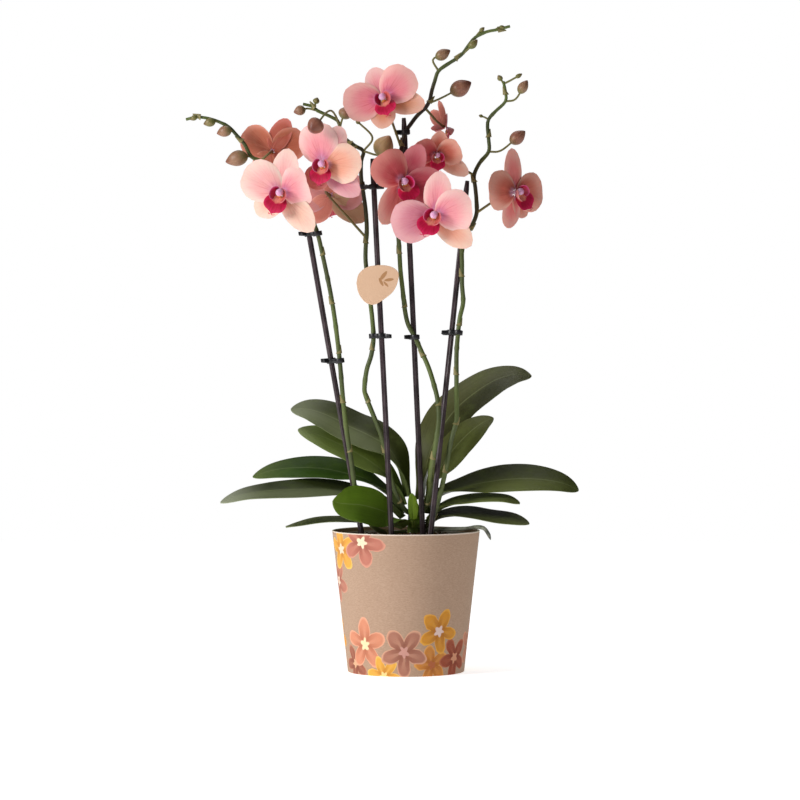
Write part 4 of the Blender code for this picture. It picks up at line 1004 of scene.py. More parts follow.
def addFan(store, matrix, origin, along, out, fan, paint, rows=None, cells=None):
    # a thin sheet that fans out from its claw: length, width, spread, bend, cross and ruffle shape it
    along = along.normalized()
    out = (out - along * out.dot(along)).normalized()
    across = out.cross(along)  # along, across and out are a right-handed set
    rows, cells = rows or bloom["rows"], cells or bloom["cells"]
    length, ratio = fan["length"], (fan["length"] / fan["width"]) ** 2
    widest = math.radians(fan.get("spread", 80))
    phase = fan.get("phase", 0.0)

    def middle(u, v):
        angle = v * widest * (0.25 + 0.75 * ease(u / 0.3))
        reach = length * math.cos(angle) / (math.cos(angle) ** 2 + ratio * math.sin(angle) ** 2)
        reach *= 1 + fan.get("square", 0.0) * math.sin(2 * angle) ** 2
        reach *= 1 + fan.get("point", 0.0) * math.exp(-(angle / 0.16) ** 2)
        reach *= 1 + fan.get("frill", 0.012) * math.sin(angle * 11 + phase * 3) * math.cos(angle * 5 + phase)
        reach = fan.get("claw", 0.8) + (reach - fan.get("claw", 0.8)) * u
        a, b = reach * math.cos(angle), reach * math.sin(angle)
        share = reach / length
        height = fan.get("bend", 0.0) * length * share**2 + fan.get("cross", 0.0) * b * b / length
        height += fan.get("ruffle", 0.0) * length * share**3 * math.sin(angle * fan.get("waves", 4) + phase)
        height += 0.03 * length * math.exp(-(angle / 0.12) ** 2) * share * (1 - share) * -2
        return origin + along * a + across * b + out * height

    grid = [[middle(i / rows, j / cells * 2 - 1) for j in range(cells + 1)] for i in range(rows + 1)]
    rings, paints, uvs = [], [], []
    for i in range(rows + 1):
        front, back, frontPaint, backPaint, place = [], [], [], [], []
        for j in range(cells + 1):
            u, v = i / rows, j / cells * 2 - 1
            down = grid[min(i + 1, rows)][j] - grid[max(i - 1, 0)][j]
            side = grid[i][min(j + 1, cells)] - grid[i][max(j - 1, 0)]
            normal = down.cross(side)
            normal = normal.normalized() if i and normal.length > 1e-9 else out
            thin = (bloom["edge"] + (bloom["thick"] - bloom["edge"]) * (1 - u**3) * (1 - v**6)) / 2 * fan.get("thick",
                1.0)
            front.append(matrix @ ((grid[i][j] + normal * thin) * mm))
            back.append(matrix @ ((grid[i][j] - normal * thin) * mm))
            frontPaint.append(paint(u, v, 0))
            backPaint.append(paint(u, v, 1))
            place.append((0.5 + v * 0.5, u))
        rings.append(front + back[::-1])
        paints.append(frontPaint + backPaint[::-1])
        uvs.append(place + place[::-1])
    loft(store, rings, paints, uvs, "strip")


def petalPaint(tones):
    throat, middle, margin, back = (colour(*tone) for tone in tones)
    heart = between(throat, colour(*bloom["heart"]), 0.65)

    def paint(u, v, side):
        if side:
            return between(back, margin, ease((u - 0.75) / 0.3) * 0.6)
        tone = between(throat, middle, ease((u - 0.12) / 0.34))
        tone = between(heart, tone, ease((u - 0.06) / 0.22))
        return between(tone, margin, ease((u - 0.5 + 0.25 * v * v) / 0.5))
    return paint


def petalFinish():
    finish, tree, shader, position = newFinish("petal_skin", 0.55, Specular_IOR_Level=0.3, Subsurface_Weight=0.12,
                                               Subsurface_Scale=0.002, Sheen_Weight=0.15)
    place = addNode(tree, "ShaderNodeUVMap").outputs[0]
    lines = noiseField(tree, stretched(tree, place, (46, 1.5, 1)), 1.0, 3.0, 0.6, 0.15)
    branch = noiseField(tree, stretched(tree, place, (90, 7, 1)), 1.0, 2.0, 0.6, 0.6)
    cells = noiseField(tree, position, 1300.0, 2.0)
    cloud = noiseField(tree, position, 90.0, 3.0)
    tone = painted(tree)
    deep = mixColour(tree, 1.0, tone, (0.84, 0.52, 0.56, 1), "MULTIPLY")
    vein = stepped(tree, lines, 0.46, 0.68)
    out = addNode(tree, "ShaderNodeSeparateXYZ", None, Vector=place).outputs["Y"]
    strength = maths(tree, "MULTIPLY", vein, stepped(tree, out, 0.95, 0.1, 0.12, 0.9))
    tone = mixColour(tree, strength, tone, deep)
    tone = mixColour(tree, maths(tree, "MULTIPLY", stepped(tree, branch, 0.5, 0.75), 0.25), tone, deep)
    tone = mixColour(tree, maths(tree, "MULTIPLY", stepped(tree, cloud, 0.45, 0.8), 0.25), tone,
                     mixColour(tree, 0.3, tone, colour(252, 214, 190)))
    useColour(tree, shader, tone)
    setBump(tree, shader, maths(tree, "ADD", maths(tree, "MULTIPLY", lines, 0.8),
                                maths(tree, "MULTIPLY", cells, 0.15)), 0.00035, 0.6)
    return finish


def lipFinish():
    finish, tree, shader, position = newFinish("lip_skin", 0.38, Specular_IOR_Level=0.4, Coat_Weight=0.1)
    place = addNode(tree, "ShaderNodeUVMap").outputs[0]
    lines = noiseField(tree, stretched(tree, place, (34, 2, 1)), 1.0, 2.0, 0.5, 0.2)
    speck = noiseField(tree, position, 900.0, 1.0)
    tone = painted(tree)
    deep = mixColour(tree, 1.0, tone, (0.62, 0.3, 0.4, 1), "MULTIPLY")
    tone = mixColour(tree, maths(tree, "MULTIPLY", stepped(tree, lines, 0.48, 0.64), 0.55), tone, deep)
    tone = mixColour(tree, maths(tree, "MULTIPLY", stepped(tree, speck, 0.62, 0.7), 0.3), tone, deep)
    useColour(tree, shader, tone)
    setBump(tree, shader, lines, 0.0003, 0.5)
    return finish


petalSkin, lipSkin = petalFinish(), lipFinish()
# the lip's shares of the flower's size, its tendrils' radii in millimetres, and its colours
lipShape = {"bladeLong": 0.42, "bladeWide": 0.44, "lobeLong": 0.28, "lobeWide": 0.3, "callus": 0.12,
            "columnLong": 9.0, "columnWide": 6.6, "columnFor": 36, "tendril": 0.42, "tendrilFall": 0.28}
lipTones = {"throat": (246, 190, 110), "band": (238, 146, 124), "blade": (196, 16, 66), "tip": (222, 38, 92),
            "lobe": (178, 10, 58),
            "lobeEdge": (214, 78, 140), "pale": (244, 178, 176), "column": (246, 204, 232), "cap": (222, 136, 192),
            "callus": (248, 190, 84)}


def addTepal(store, name, flower, heading, length, kind, tone, seed):
    size, petal, joined = flower["size"], kind == "petal", name in joinedFlowers
    cup = flower["cup"] * (bloom["joinedCup"] if joined else 1 if petal else bloom["sepalCup"])
    pitch, angle = math.radians(cup), math.radians(heading)
    ahead = Vector((math.cos(angle), math.sin(angle), 0))
    along = ahead * math.cos(pitch) + Vector((0, 0, 1)) * math.sin(pitch)
    out = Vector((0, 0, 1)) * math.cos(pitch) - ahead * math.sin(pitch)
    plane = (0.9 if petal else -0.3) if joined else (0.8 if petal else -0.8)
    width = size * bloom["petalWidth" if petal else "sepalWidth"] * flower.get("slim", 1)
    fan = {"length": size * length / math.cos(pitch), "width": width, "spread": 82 if petal else 78,
           "square": 0.07 if petal else 0.03, "point": 0.0 if petal else 0.03,
           "bend": -0.12 if petal else -0.08, "cross": -0.10 if petal else 0.16, "ruffle": 0.045 if petal else 0.03,
           "waves": 5, "frill": 0.02 if petal else 0.012, "phase": seed * 1.3}
    addFan(store, facing(flower), Vector((0, 0, plane)) + ahead * 1.0, along, out, fan, petalPaint(petalTones[tone]))


def addLip(store, flower, seed):
    size = flower["size"]
    matrix = facing(flower)
    angle = math.radians(flower["headings"][5])
    down = Vector((math.cos(angle), math.sin(angle), 0))
    side = Vector((-math.sin(angle), math.cos(angle), 0))
    ahead = Vector((0, 0, 1))
    tone = {key: colour(*value) for key, value in lipTones.items()}

    crimsonSide = 1 if flower["azimuth"] > 0 else -1  # the side lobe whose inner face is seen

    def bladePaint(u, v, back):
        base = between(tone["throat"], tone["band"], ease(u / 0.3))
        base = between(base, tone["blade"], ease((u - 0.46) / 0.1))
        base = between(base, tone["tip"], ease((u - 0.75) / 0.25))
        return between(base, tone["pale"], 0.3 if back else 0.0)

    def lobePaint(turn):
        pale = 0.0 if turn == crimsonSide else 0.5

        def paint(u, v, back):
            base = between(tone["throat"], tone["lobe"], ease((u - 0.02) / 0.28))
            base = between(base, tone["lobeEdge"], ease((u - 0.8) / 0.2))
            base = between(base, tone["band"], pale)
            return between(base, tone["pale"], 0.7 if back else 0.0)
        return paint

    # the middle lobe juts forward and down, broad at its shoulders, with two curled tendrils at its tip
    start = ahead * 2.4 + down * 1.0
    along = (down * 0.6 + ahead * 0.8).normalized()
    out = ahead * 0.6 - down * 0.8
    long = size * lipShape["bladeLong"]
    addFan(store, matrix, start, along, out, {
        "length": long, "width": size * lipShape["bladeWide"], "spread": 70, "square": 0.26, "point": 0.12,
        "bend": -0.4, "cross": 0.45,
        "frill": 0.015, "claw": 0.6, "phase": seed}, bladePaint, 16, 18)
    tip = start + along * long * 1.12 - out * 0.4 * long * 1.25
    for turn in (-1, 1):
        path = [tip - along * 1.4 + side * turn * 0.3, tip + along * 0.8 + side * turn * 0.9 - ahead * 0.4,
                tip + along * 1.2 + side * turn * 2.2 - ahead * 1.6, tip + side * turn * 3.2 - ahead * 2.6]
        path = smoothPath([matrix @ (p * mm) for p in path], 0.6 * mm)
        addTube(store, path, lambda share, length: (lipShape["tendril"] - lipShape["tendrilFall"] * share) * mm,
                lambda share, angle: tone["tip"], 7)
    # the side lobes stand up either side of the column
    for turn in (-1, 1):
        origin = ahead * 2.2 + side * turn * 1.6 + down * 0.6
        along = side * turn * 0.78 + ahead * 0.62 - down * 0.06
        out = side * -turn * 0.62 + ahead * 0.78
        addFan(store, matrix, origin, along, out, {
            "length": size * lipShape["lobeLong"], "width": size * lipShape["lobeWide"], "spread": 76, "square": 0.1,
            "bend": 0.3, "cross": 0.5, "frill": 0.0,
            "claw": 0.5, "phase": seed + turn}, lobePaint(turn), 12, 12)
    # the callus between them, and the column above
    addOvoid(store, matrix @ ((ahead * 4.4 + down * 2.6) * mm), matrix.to_3x3() @ (down + ahead * 0.8),
             size * lipShape["callus"] * mm,
             size * lipShape["callus"] * mm,
             lambda t: math.sin(math.pi * t) ** 0.7, lambda t,
             angle: between(tone["callus"], tone["blade"], ease((t - 0.6) / 0.4)), 8, 12, 0.15, 2)
    long = lipShape["columnLong"] * size / lipShape["columnFor"]
    addOvoid(store, matrix @ ((ahead * (1.2 + long / 2) - down * 1.2) * mm), matrix.to_3x3() @ (ahead - down * 0.2),
             long * mm,
             lipShape["columnWide"] * size / lipShape["columnFor"] * mm,
             lambda t: 0.62 + 0.38 * ease(t / 0.7) if t < 0.7 else math.sqrt(max(0.0, 1 - ((t - 0.7) / 0.3) ** 2)),
             lambda t, angle: between(tone["column"], tone["cap"], ease((t - 0.8) / 0.2) * 0.6), 14, 16, 0.06, 2)


def makeFlowers():
    for seed, (name, flower) in enumerate(flowers.items()):
        sepals, petals, lip = newStore(), newStore(), newStore()
        if name in joinedFlowers:
            petals = sepals
        tepals = list(zip(flower["headings"], flower["lengths"], flower["tones"],
                          ("sepal", "petal", "petal", "sepal", "sepal")))
        for k in (0, 3, 4, 1, 2):
            heading, length, tone, kind = tepals[k]
            addTepal(sepals if kind == "sepal" else petals, name, flower, heading, length, kind, tone, seed + k * 2.1)
        if name in joinedFlowers:
            newPiece(name + "_five_tepals", sepals, petalSkin, name + "_tepals", 70)
        else:
            newPiece(name + "_three_sepals", sepals, petalSkin, name + "_sepals", 70)
            newPiece(name + "_two_petals", petals, petalSkin, name + "_petals", 70)
        addLip(lip, flower, seed)
        newPiece(name + "_lip_and_column", lip, lipSkin, name + "_lip", 60)


makeFlowers()
print("flowers made")

# flower spikes: route from the crown to the tip, side branches that end in a bud of (length, width), flower stalks
spikes = {
    "left_spike": dict(
        route=[(-1, -6, -1.5), (-14, -16, -1.5), (-27, -25, 3), (-37, -31, 16), (-45, -32, 38), (-49, -33, 65),
               (-53, -34, 91),
               (-56, -35, 118), (-60, -36, 163), (-66, -37, 207), (-75, -38, 251), (-79, -37, 267), (-86, -33, 285),
               (-97, -27, 305), (-113, -22, 322), (-127, -22, 330), (-138, -22, 335), (-144, -22, 346),
               (-151, -24, 354),
               (-159, -25, 362), (-173, -26, 368), (-186, -26, 370), (-196, -24, 368)],
        buds=[((-138, -22, 335), (-144, -25, 335), (-151, -24, 333), 21, 14, "tan"),
              ((-155, -25, 358), (-158, -28, 358), (-162, -27, 357), 14, 10, "tan"),
              ((-168, -26, 366), (-171, -28, 366), (-175, -28, 365), 11, 8, "green"),
              ((-184, -26, 370), (-187, -28, 370), (-189, -28, 369), 7, 5, "green")],
        stalks={"flower_1": (-97, -27, 305), "flower_8": (-130, -22, 331)}, brown=(180, 260, 300, 330, 0.4)),
    "centre_left_spike": dict(
        route=[(3.5, -4, 16), (-1, -9.5, 19), (-7, -14, 29), (-13, -17, 46), (-18, -20, 69), (-23, -25, 89),
               (-29, -27, 104),
               (-36, -28, 122), (-37, -28, 130), (-35, -28, 145), (-31, -28, 158), (-29, -28, 173), (-30, -27, 189),
               (-32, -26, 207), (-34, -26, 225), (-36, -25, 241), (-36, -24, 254), (-35, -23, 270), (-36, -21, 287),
               (-38, -20, 302), (-40, -20, 316), (-40, -20, 331), (-38, -20, 340), (-46, -20, 345), (-55, -20, 352),
               (-59, -20, 361), (-61, -20, 367), (-70, -20, 372), (-79, -20, 376), (-84, -20, 380), (-92, -20, 382)],
        buds=[((-38, -20, 340), (-24, -31, 336), (-19.5, -32, 344), 21, 18, "pale"),
              ((-59, -20, 361), (-57, -23, 368), (-54, -23, 374), 12, 12, "tan"),
              ((-55, -20, 352), (-66, -50, 374), (-80, -73, 359), 15, 15, "russet"),
              ((-79, -20, 376), (-88, -20, 378), (-95, -21, 376), 11, 9, "tan"),
              ((-82, -20, 378), (-81, -20, 382), (-80, -20, 385), 6, 6, "green"),
              ((-38, -20, 340), (-30, -24, 352), (-43, -24, 366), 5, 4, "green")],
        stalks={"flower_2": (-44, -22, 344), "flower_9": (-35, -24, 262)}, brown=(200, 300, 338, 352, 0.8)),
    "centre_right_spike": dict(
        route=[(10, -4.5, 15), (14, -9, 17), (19, -15, 25), (22, -25, 39), (22, -35, 56), (26, -42, 78),
               (29, -42, 100),
               (28, -40, 118), (25, -36, 131), (20, -30, 147), (13, -24, 163), (8, -22, 174), (2, -21, 185),
               (-1, -20, 198),
               (-3, -20, 216), (-5, -20, 234), (-6, -20, 252), (-7, -20, 268), (-7, -20, 283), (-6, -20, 301),
               (-5, -20, 324),
               (-4, -20, 342), (-1, -19, 356), (4, -17, 364), (10, -14, 372), (17, -12, 379), (21, -12, 385),
               (23, -12, 394),
               (26, -12, 404), (29, -12, 412), (37, -12, 418), (45, -12, 423), (51, -12, 428), (56, -12, 435),
               (62, -12, 442),
               (72, -12, 447), (82, -12, 449), (93, -12, 452)],
        buds=[((20, -12, 383), (32, -14, 388), (49, -14, 397), 21, 15, "russet"),
              ((29, -12, 412), (24, -12, 422), (33, -12, 427), 15, 10, "tan"),
              ((48, -12, 425), (54, -13, 430), (60, -14, 436), 11, 7, "green"),
              ((62, -12, 442), (65, -12, 446), (68, -12, 449), 6, 4, "green"),
              ((80, -12, 449), (83, -12, 451), (86, -12, 451), 6, 4, "green")],
        stalks={"flower_3": (-4, -20, 342), "flower_4": (-6, -20, 300), "flower_6": (-7, -20, 268),
                "flower_10": (17, -12, 379)}, brown=(230, 330, 392, 414, 1.0)),
    "right_spike": dict(
        route=[(12.5, -5, 3), (18, -12, 4.5), (25, -18, 14), (30, -21, 32), (36, -24, 58), (40, -27, 81),
               (45, -28, 100),
               (45, -28, 118), (45, -28, 136), (45, -27, 158), (46, -25, 173), (48, -23, 191), (51, -21, 205),
               (50, -22, 221),
               (50, -22, 239), (50, -21, 252), (53, -20, 263), (58, -18, 272), (63, -15, 284), (63, -13, 297),
               (62, -12, 308),
               (61, -10, 319), (66, -10, 330), (74, -10, 340), (74, -10, 351), (73, -10, 362), (74, -10, 369),
               (80, -10, 376),
               (89, -10, 385), (89, -10, 394), (87, -10, 403)],
        buds=[((74, -10, 340), (85, -11, 341), (100, -12, 353), 17, 12, "russet"),
              ((89, -10, 385), (98, -10, 387), (105, -10, 398), 14, 9, "tan"),
              ((74, -10, 369), (70, -10, 371), (67, -10, 372), 4, 3, "green"),
              ((88, -10, 400), (86, -10, 403), (84, -10, 406), 6, 5, "green"),
              ((88, -10, 401), (94, -10, 404), (101, -10, 408), 7, 4, "green")],
        stalks={"flower_5": (61, -10, 319), "flower_7": (63, -15, 285)}, brown=(230, 275, 318, 340, 0.7)),
}
stem = {"radius": 2.2, "tip": 1.3, "stalk": 1.0, "nodeEvery": 44.0, "sides": 14, "swell": 0.16, "stalkInto": 2.4,
        "stalkBend": 7,
        "bractWide": 2.9, "bractHigh": 7.5, "bractTone": (142, 132, 84),
        "green": (98, 112, 58), "deepGreen": (78, 88, 50), "brown": (58, 50, 42), "stalkTone": (128, 124, 74),
        "flowerStalk": (124, 96, 62)}
budTones = {"tan": ((122, 118, 70), (156, 118, 92), (134, 84, 66)),
            "green": ((112, 120, 62), (120, 116, 66), (118, 92, 60)),
            "pale": ((150, 146, 92), (206, 172, 124), (188, 134, 96)),
            "russet": ((120, 100, 66), (150, 98, 80), (116, 66, 54))}


def stemFinish():
    finish, tree, shader, position = newFinish("stem_skin", 0.45, Specular_IOR_Level=0.35)
    cloud = noiseField(tree, position, 110.0, 4.0, 0.6)
    streak = noiseField(tree, stretched(tree, addNode(tree, "ShaderNodeUVMap").outputs[0], (16, 1.2, 1)), 1.0, 3.0,
                        0.6)
    tone = painted(tree)
    deep = mixColour(tree, 1.0, tone, (0.6, 0.58, 0.55, 1), "MULTIPLY")
    tone = mixColour(tree, maths(tree, "MULTIPLY", stepped(tree, streak, 0.4, 0.7), 0.45), tone, deep)
    tone = mixColour(tree, maths(tree, "MULTIPLY", stepped(tree, cloud, 0.5, 0.75), 0.3), tone,
                     mixColour(tree, 0.4, tone, colour(176, 170, 110)))
    useColour(tree, shader, tone)
    setBump(tree, shader, maths(tree, "ADD", streak, cloud), 0.0003, 0.5)
    return finish


def budFinish():
    finish, tree, shader, position = newFinish("bud_skin", 0.42, Specular_IOR_Level=0.35)
    cloud = noiseField(tree, position, 160.0, 4.0, 0.6)
    streak = noiseField(tree, stretched(tree, addNode(tree, "ShaderNodeUVMap").outputs[0], (22, 1.5, 1)), 1.0, 3.0,
                        0.6)
    tone = painted(tree)
    deep = mixColour(tree, 1.0, tone, (0.68, 0.55, 0.52, 1), "MULTIPLY")
    tone = mixColour(tree, maths(tree, "MULTIPLY", stepped(tree, streak, 0.42, 0.68), 0.5), tone, deep)
    tone = mixColour(tree, maths(tree, "MULTIPLY", stepped(tree, cloud, 0.5, 0.75), 0.35), tone, colour(204, 158, 124))
    useColour(tree, shader, tone)
    setBump(tree, shader, streak, 0.0003, 0.5)
    return finish


def bractTree():  # small clasping scales, one at each node of a stem, on alternate sides
    tree, given = newTree("stemBracts", ("Spacing", "Float"), ("Width", "Float"), ("Height", "Float"),
                          ("Finish", "Material"))
    path = addNode(tree, "GeometryNodeMeshToCurve", None, Mesh=given["Geometry"]).outputs[0]
    points = addNode(tree, "GeometryNodeCurveToPoints", {"mode": "LENGTH"}, Curve=path,
                     Length=given["Spacing"]).outputs
    scale = addNode(tree, "GeometryNodeMeshCone", {"fill_type": "NGON"}, Vertices=12, Side_Segments=4, Radius_Top=0.16,
                    Radius_Bottom=1.0,
                    Depth=1.0).outputs[0]
    place = addNode(tree, "GeometryNodeInputPosition").outputs[0]
    parts = addNode(tree, "ShaderNodeSeparateXYZ", None, Vector=place).outputs
    lean = addNode(tree, "ShaderNodeCombineXYZ", None, X=maths(tree, "MULTIPLY", parts["Z"], 0.75)).outputs[0]
    scale = addNode(tree, "GeometryNodeSetPosition", None, Geometry=scale, Offset=lean).outputs[0]
    odd = maths(tree, "MODULO", addNode(tree, "GeometryNodeInputIndex").outputs[0], 2.0)
    spin = addNode(tree, "ShaderNodeCombineXYZ", None, Z=maths(tree, "MULTIPLY_ADD", odd, math.pi, 0.3)).outputs[0]
    turn = addNode(tree, "FunctionNodeAlignRotationToVector", {"axis": "Z"}, Vector=points["Tangent"]).outputs[0]
    turn = addNode(tree, "FunctionNodeRotateRotation", {"rotation_space": "LOCAL"}, Rotation=turn,
                   Rotate_By=addNode(tree, "FunctionNodeEulerToRotation", None, Euler=spin).outputs[0]).outputs[0]
    size = addNode(tree, "ShaderNodeCombineXYZ", None, X=given["Width"], Y=given["Width"],
                   Z=given["Height"]).outputs[0]
    scales = addNode(tree, "GeometryNodeInstanceOnPoints", None, Points=points["Points"], Instance=scale,
                     Rotation=turn, Scale=size).outputs[0]
    endTree(tree, scales, given["Finish"])
    return tree


def budShape(t):
    return (math.sin(math.pi * min(1.0, t) ** 0.82) ** 0.66) * (1.0 if t < 0.6 else 1 - 0.12 * ease((t - 0.6) / 0.4))


def makeSpikes():
    skin, budSkin, scales = stemFinish(), budFinish(), bractTree()
    green, deepGreen, brown = colour(*stem["green"]), colour(*stem["deepGreen"]), colour(*stem["brown"])
    stalkTone, flowerStalk = colour(*stem["stalkTone"]), colour(*stem["flowerStalk"])
    for name, spike in spikes.items():
        store, buds = newStore(), newStore()
        path = smoothPath([spot(place) for place in spike["route"]], 3.0 * mm)
        low, high, fade, end, depth = spike["brown"]

        def thick(share, at):
            near = abs((at / mm) / stem["nodeEvery"] % 1 - 0.5) * 2
            swell = 1 + stem["swell"] * ease((near - 0.86) / 0.14)
            return between((stem["radius"],) * 2, (stem["tip"],) * 2, 0.4 * share + 0.6 * share ** 6)[0] * swell * mm

        def tone(share, angle):
            height = path[min(len(path) - 1, int(share * (len(path) - 1)))].z / mm - rimHeight
            base = between(green, deepGreen, 0.5 + 0.5 * math.sin(share * 37))
            return between(base, brown,
                           depth * ease((height - low) / (high - low)) * ease((end - height) / (end - fade)))
        addTube(store, path, thick, tone, stem["sides"])
        for start, middle, centre, long, wide, kind in spike["buds"]:
            points = [spot(place) for place in (start, middle, centre)]
            thin = min(stem["stalk"], wide * 0.3) * mm
            addTube(store, smoothPath(points, 2.5 * mm), lambda share, at: thin * (1 - 0.15 * share), lambda share,
                    angle: stalkTone, 10)
            baseTone, bodyTone, tipTone = (colour(*part) for part in budTones[kind])
            axis = points[2] - points[1]
            addOvoid(buds, points[2], axis, long * mm, wide * mm, budShape,
                     lambda t, angle: between(between(baseTone, bodyTone, ease(t / 0.45)), tipTone,
                                              ease((t - 0.6) / 0.4)), 18, 24, 0.045, 3)
        for flowerName, start in spike["stalks"].items():
            matrix = facing(flowers[flowerName])
            seat = matrix @ (Vector((0, 0, -bloom["stalkBack"] + stem["stalkInto"])) * mm)
            behind = matrix @ (Vector((0, 0, -bloom["stalkBack"] - stem["stalkBend"])) * mm)
            first = spot(start)
            route = smoothPath([first, first * 0.55 + behind * 0.45, behind, seat], 2.5 * mm)
            addTube(store, route, lambda share,
                    at: stem["stalk"] * (1.2 - 0.2 * share + 0.5 * ease((share - 0.85) / 0.15)) * mm,
                    lambda share, angle: between(stalkTone, flowerStalk, share), 12)
        newPiece(name + "_stem", store, skin, name, 60)
        newPiece(name + "_buds", buds, budSkin, name, 60)
        base = lineMesh(name + "_line", path[6:-4])
        bracts = grown(name + "_bracts", scales, base,
                       {"Spacing": stem["nodeEvery"] * mm, "Width": stem["bractWide"] * mm,
                        "Height": stem["bractHigh"] * mm, "Finish": budSkin})
        paint = bracts.attributes.new("paint", "FLOAT_COLOR", "POINT")
        paint.data.foreach_set("color", list(colour(*stem["bractTone"])) * len(bracts.vertices))
        bracts.name = name + "_bracts"
        showMesh(name + "_bracts", bracts, skin, name, 60)


makeSpikes()
print("spikes made")

# clips that hold each spike to its stick
clips = {
    "left_upper_clip": ("left_stick", "left_spike", 266, 200),
    "left_lower_clip": ("left_stick", "left_spike", 153, 200),
    "centre_left_upper_clip": ("centre_left_stick", "centre_left_spike", 308, -10),
    "centre_left_lower_clip": ("centre_left_stick", "centre_left_spike", 175, -10),
    "centre_right_upper_clip": ("centre_right_stick", "centre_right_spike", 357, 180),
    "centre_right_lower_clip": ("centre_right_stick", "centre_right_spike", 174, 180),
    "right_clip": ("right_stick", "right_spike", 178, 170),
}
clipShape = {"height": 4.6, "wall": 1.3, "gap": 0.35, "stemSlack": 0.3, "wrap": 318, "wing": 5.5, "wingThick": 1.1,
             "wingSpread": 26, "ribs": (3, 4, 5), "ribWide": 0.9, "ribThick": 0.45}


def onStick(name, height):
    top, foot = stickLine(name)
    axis = (top - foot).normalized()
    return foot + axis * ((rimHeight + height) * mm - foot.z) / axis.z, axis


def onSpike(name, height):
    path = smoothPath([spot(place) for place in spikes[name]["route"]], 3 * mm)
    level = (rimHeight + height) * mm
    for before, after in zip(path, path[1:]):
        if before.z <= level <= after.z:
            return before.lerp(after, (level - before.z) / (after.z - before.z))


def clipFinish():
    finish, tree, shader, position = newFinish("clip_plastic", 0.38)
    cloud = noiseField(tree, position, 300.0, 2.0)
    useColour(tree, shader, mixColour(tree, cloud, colour(20, 20, 22), colour(38, 37, 40)))
    setBump(tree, shader, noiseField(tree, position, 1800.0, 2.0), 0.0001, 0.4)
    return finish


def addBand(store, points, axis, height, thick, taper=1.0):  # a flat band of rounded section along points
    rings, paints, uvs = [], [], []
    count = len(points)
    for i, point in enumerate(points):
        along = (points[min(i + 1, count - 1)] - points[max(i - 1, 0)]).normalized()
        out = along.cross(axis).normalized()
        share = i / (count - 1)
        high, wide = height / 2 * (1 + (taper - 1) * share), thick / 2
        corner = min(high, wide) * 0.6
        section = []
        for cx, cz, turn in ((wide - corner, high - corner, 0), (-wide + corner, high - corner, 90),
                             (-wide + corner, -high + corner, 180), (wide - corner, -high + corner, 270)):
            for k in (0, 45, 90):
                a = math.radians(turn + k)
                section.append(point + (out * (cx + corner * math.cos(a)) + axis * (cz + corner * math.sin(a))) * mm)
        rings.append(section)
        paints.append([(1, 1, 1, 1)] * len(section))
        uvs.append([(share, k / len(section)) for k in range(len(section))])
    loft(store, rings, paints, uvs)


def addArc(store, centre, axis, toward, radius, height, thick, sweep):
    side = axis.cross(toward).normalized()
    ahead = side.cross(axis).normalized()
    steps = 28
    points = []
    for i in range(steps + 1):
        angle = math.radians(sweep) * (i / steps - 0.5) + math.pi
        points.append(centre + (ahead * math.cos(angle) + side * math.sin(angle)) * radius * mm)
    addBand(store, points, axis, height, thick)


def makeClips():
    finish = clipFinish()
    for name, (stick, spike, height, lever) in clips.items():
        store = newStore()
        stickAt, axis = onStick(stick, height)
        stemAt = onSpike(spike, height)
        apart = stemAt - stickAt
        toward = (apart - axis * apart.dot(axis)).normalized()
        tall, wall = clipShape["height"], clipShape["wall"]
        stickRing = stickShape["radius"] + clipShape["gap"] + wall / 2
        stemRing = stem["radius"] + clipShape["gap"] + clipShape["stemSlack"] + wall / 2
        addArc(store, stickAt, axis, toward, stickRing, tall, wall, clipShape["wrap"])
        addArc(store, stemAt, axis, -toward, stemRing, tall * 0.92, wall, clipShape["wrap"])
        side = axis.cross(toward)
        for turn in (-1, 1):  # the jaws' bridges, ribbed towards the wings
            start = stickAt + (toward * stickRing * 0.86 + side * turn * stickRing * 0.5) * mm
            end = stemAt + (-toward * stemRing * 0.86 + side * turn * stemRing * 0.5) * mm
            addBand(store, [start.lerp(end, k / 4) for k in range(5)], axis, tall * 0.8, wall)
        out = Vector((math.cos(math.radians(lever)), math.sin(math.radians(lever)), 0))
        for spread in (-clipShape["wingSpread"], clipShape["wingSpread"]):
            wing = Matrix.Rotation(math.radians(spread), 3, axis) @ out
            start, end = stickAt + wing * stickRing * mm, stickAt + wing * (stickRing + clipShape["wing"]) * mm
            addBand(store, [start.lerp(end, k / 5) for k in range(6)], axis, tall * 0.95, clipShape["wingThick"], 0.8)
            for k in clipShape["ribs"]:
                ribAt = start.lerp(end, k / 5)
                across = axis.cross(wing) * clipShape["ribWide"] * mm
                addBand(store, [ribAt - across, ribAt, ribAt + across], axis, tall * 0.72, clipShape["ribThick"])
        newPiece(name + "_jaws", store, finish, name, 40)


makeClips()
print("clips made")

# the pebble-shaped card on its ring
label = {"height": 219, "thick": 1.0, "ring": 6.0, "ringGap": 1.0, "ringWall": 1.1, "ringWrap": 350, "seat": 3.5,
         "bevel": 0.18,
         "outline": [(-20, 3), (-18, 11), (-11, 17), (-1, 19), (10, 18), (17, 13), (17, 5), (13, -4), (5, -11),
                     (-4, -16),
                     (-12, -14), (-18, -6)]}
labelLeaves = [(4.0, 9.5, 52, 5.2, 1.7), (9.0, 6.0, 8, 4.2, 1.4), (2.0, 4.0, 118, 4.0, 1.3), (6.2, 2.2, -48, 3.2, 1.0)]


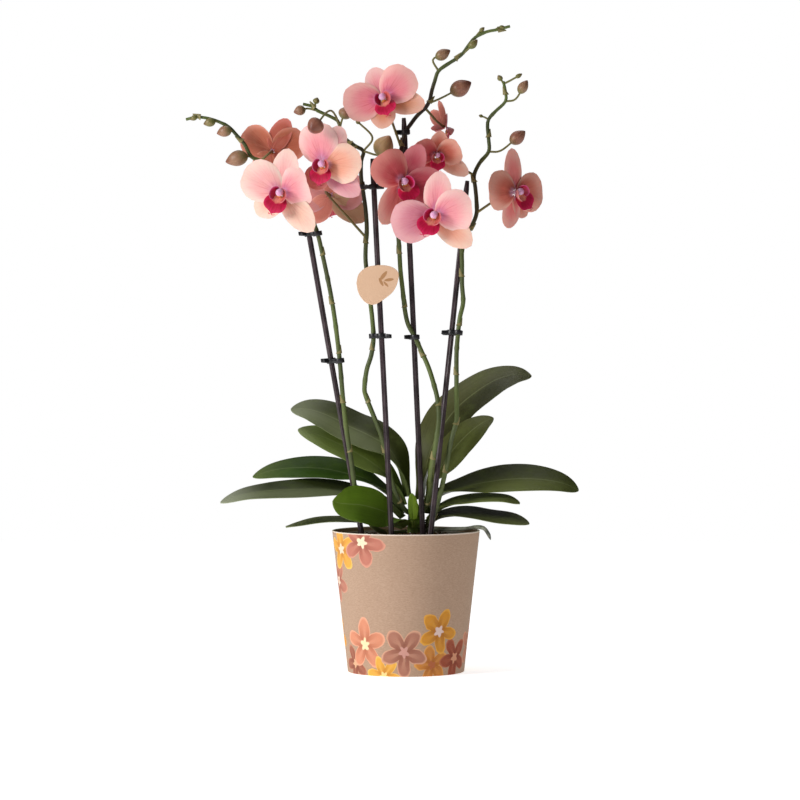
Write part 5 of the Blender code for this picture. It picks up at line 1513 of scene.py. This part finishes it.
def cardFinish(centre):
    finish, tree, shader, position = newFinish("label_card", 0.82, Specular_IOR_Level=0.25)
    fibre = noiseField(tree, stretched(tree, position, (1400, 1400, 600)), 1.0, 4.0, 0.6)
    cloud = noiseField(tree, position, 60.0, 2.0)
    tone = mixColour(tree, fibre, colour(226, 184, 150), colour(240, 204, 172))
    tone = mixColour(tree, maths(tree, "MULTIPLY", cloud, 0.3), tone, colour(216, 170, 138))
    parts = addNode(tree, "ShaderNodeSeparateXYZ", None, Vector=position).outputs
    x = maths(tree, "DIVIDE", maths(tree, "SUBTRACT", parts["X"], centre.x), mm)
    z = maths(tree, "DIVIDE", maths(tree, "SUBTRACT", parts["Z"], centre.z), mm)
    sprig = None
    for cx, cz, degrees, long, wide in labelLeaves:
        a = math.radians(degrees)
        dx, dz = maths(tree, "SUBTRACT", x, cx), maths(tree, "SUBTRACT", z, cz)
        along = maths(tree, "DIVIDE", maths(tree, "MULTIPLY_ADD", dx, math.cos(a),
                                            maths(tree, "MULTIPLY", dz, math.sin(a))), long)
        across = maths(tree, "DIVIDE", maths(tree, "MULTIPLY_ADD", dz, math.cos(a),
                                             maths(tree, "MULTIPLY", dx, -math.sin(a))), wide)
        reach = maths(tree, "ADD", maths(tree, "POWER", maths(tree, "ABSOLUTE", along), 1.5),
                      maths(tree, "MULTIPLY", across, across))
        inside = stepped(tree, reach, 1.06, 0.94)
        sprig = inside if sprig is None else maths(tree, "MAXIMUM", sprig, inside)
    face = stepped(tree, parts["Y"], centre.y - 0.1 * mm, centre.y, 1.0, 0.0)
    useColour(tree, shader, mixColour(tree, maths(tree, "MULTIPLY", sprig, face), tone, colour(186, 138, 96)))
    setBump(tree, shader, fibre, 0.0001, 0.6)
    return finish


def makeLabel():
    at, axis = onStick("centre_left_stick", label["height"])
    centre = at - Vector((0, label["seat"] + label["thick"] / 2, 0)) * mm
    outline = smoothPath([Vector((x, 0, z)) * mm for x, z in [*label["outline"], label["outline"][0]]], 1.0 * mm)[:-1]
    bend, half = label["bevel"], label["thick"] / 2
    store = newStore()
    rings, paints, uvs = [], [], []
    section = ((9.0, half), (0.8, half), (bend, half), (0.0, half - bend),
               (0.0, -half + bend), (bend, -half), (0.8, -half), (9.0, -half))
    for shrink, depth in section:
        ring = []
        for p in outline:
            size = max(0.0, 1 - shrink / (p.length / mm)) if shrink < 9 else 0.02
            bow = 0.00035 * (p.x * size / 0.018) ** 2
            ring.append(centre + Vector((p.x * size, depth * mm + bow, p.z * size)))
        rings.append(ring)
        paints.append([(1, 1, 1, 1)] * len(ring))
        uvs.append([(p.x, p.z) for p in outline])
    loft(store, rings, paints, uvs)
    ringRadius = stickShape["radius"] + label["ringGap"]
    addArc(store, at, axis, Vector((0, -1, 0)), ringRadius, label["ring"], label["ringWall"], label["ringWrap"])
    newPiece("plant_label_card", store, cardFinish(centre), "plant_label", 40)


makeLabel()
print("label made")
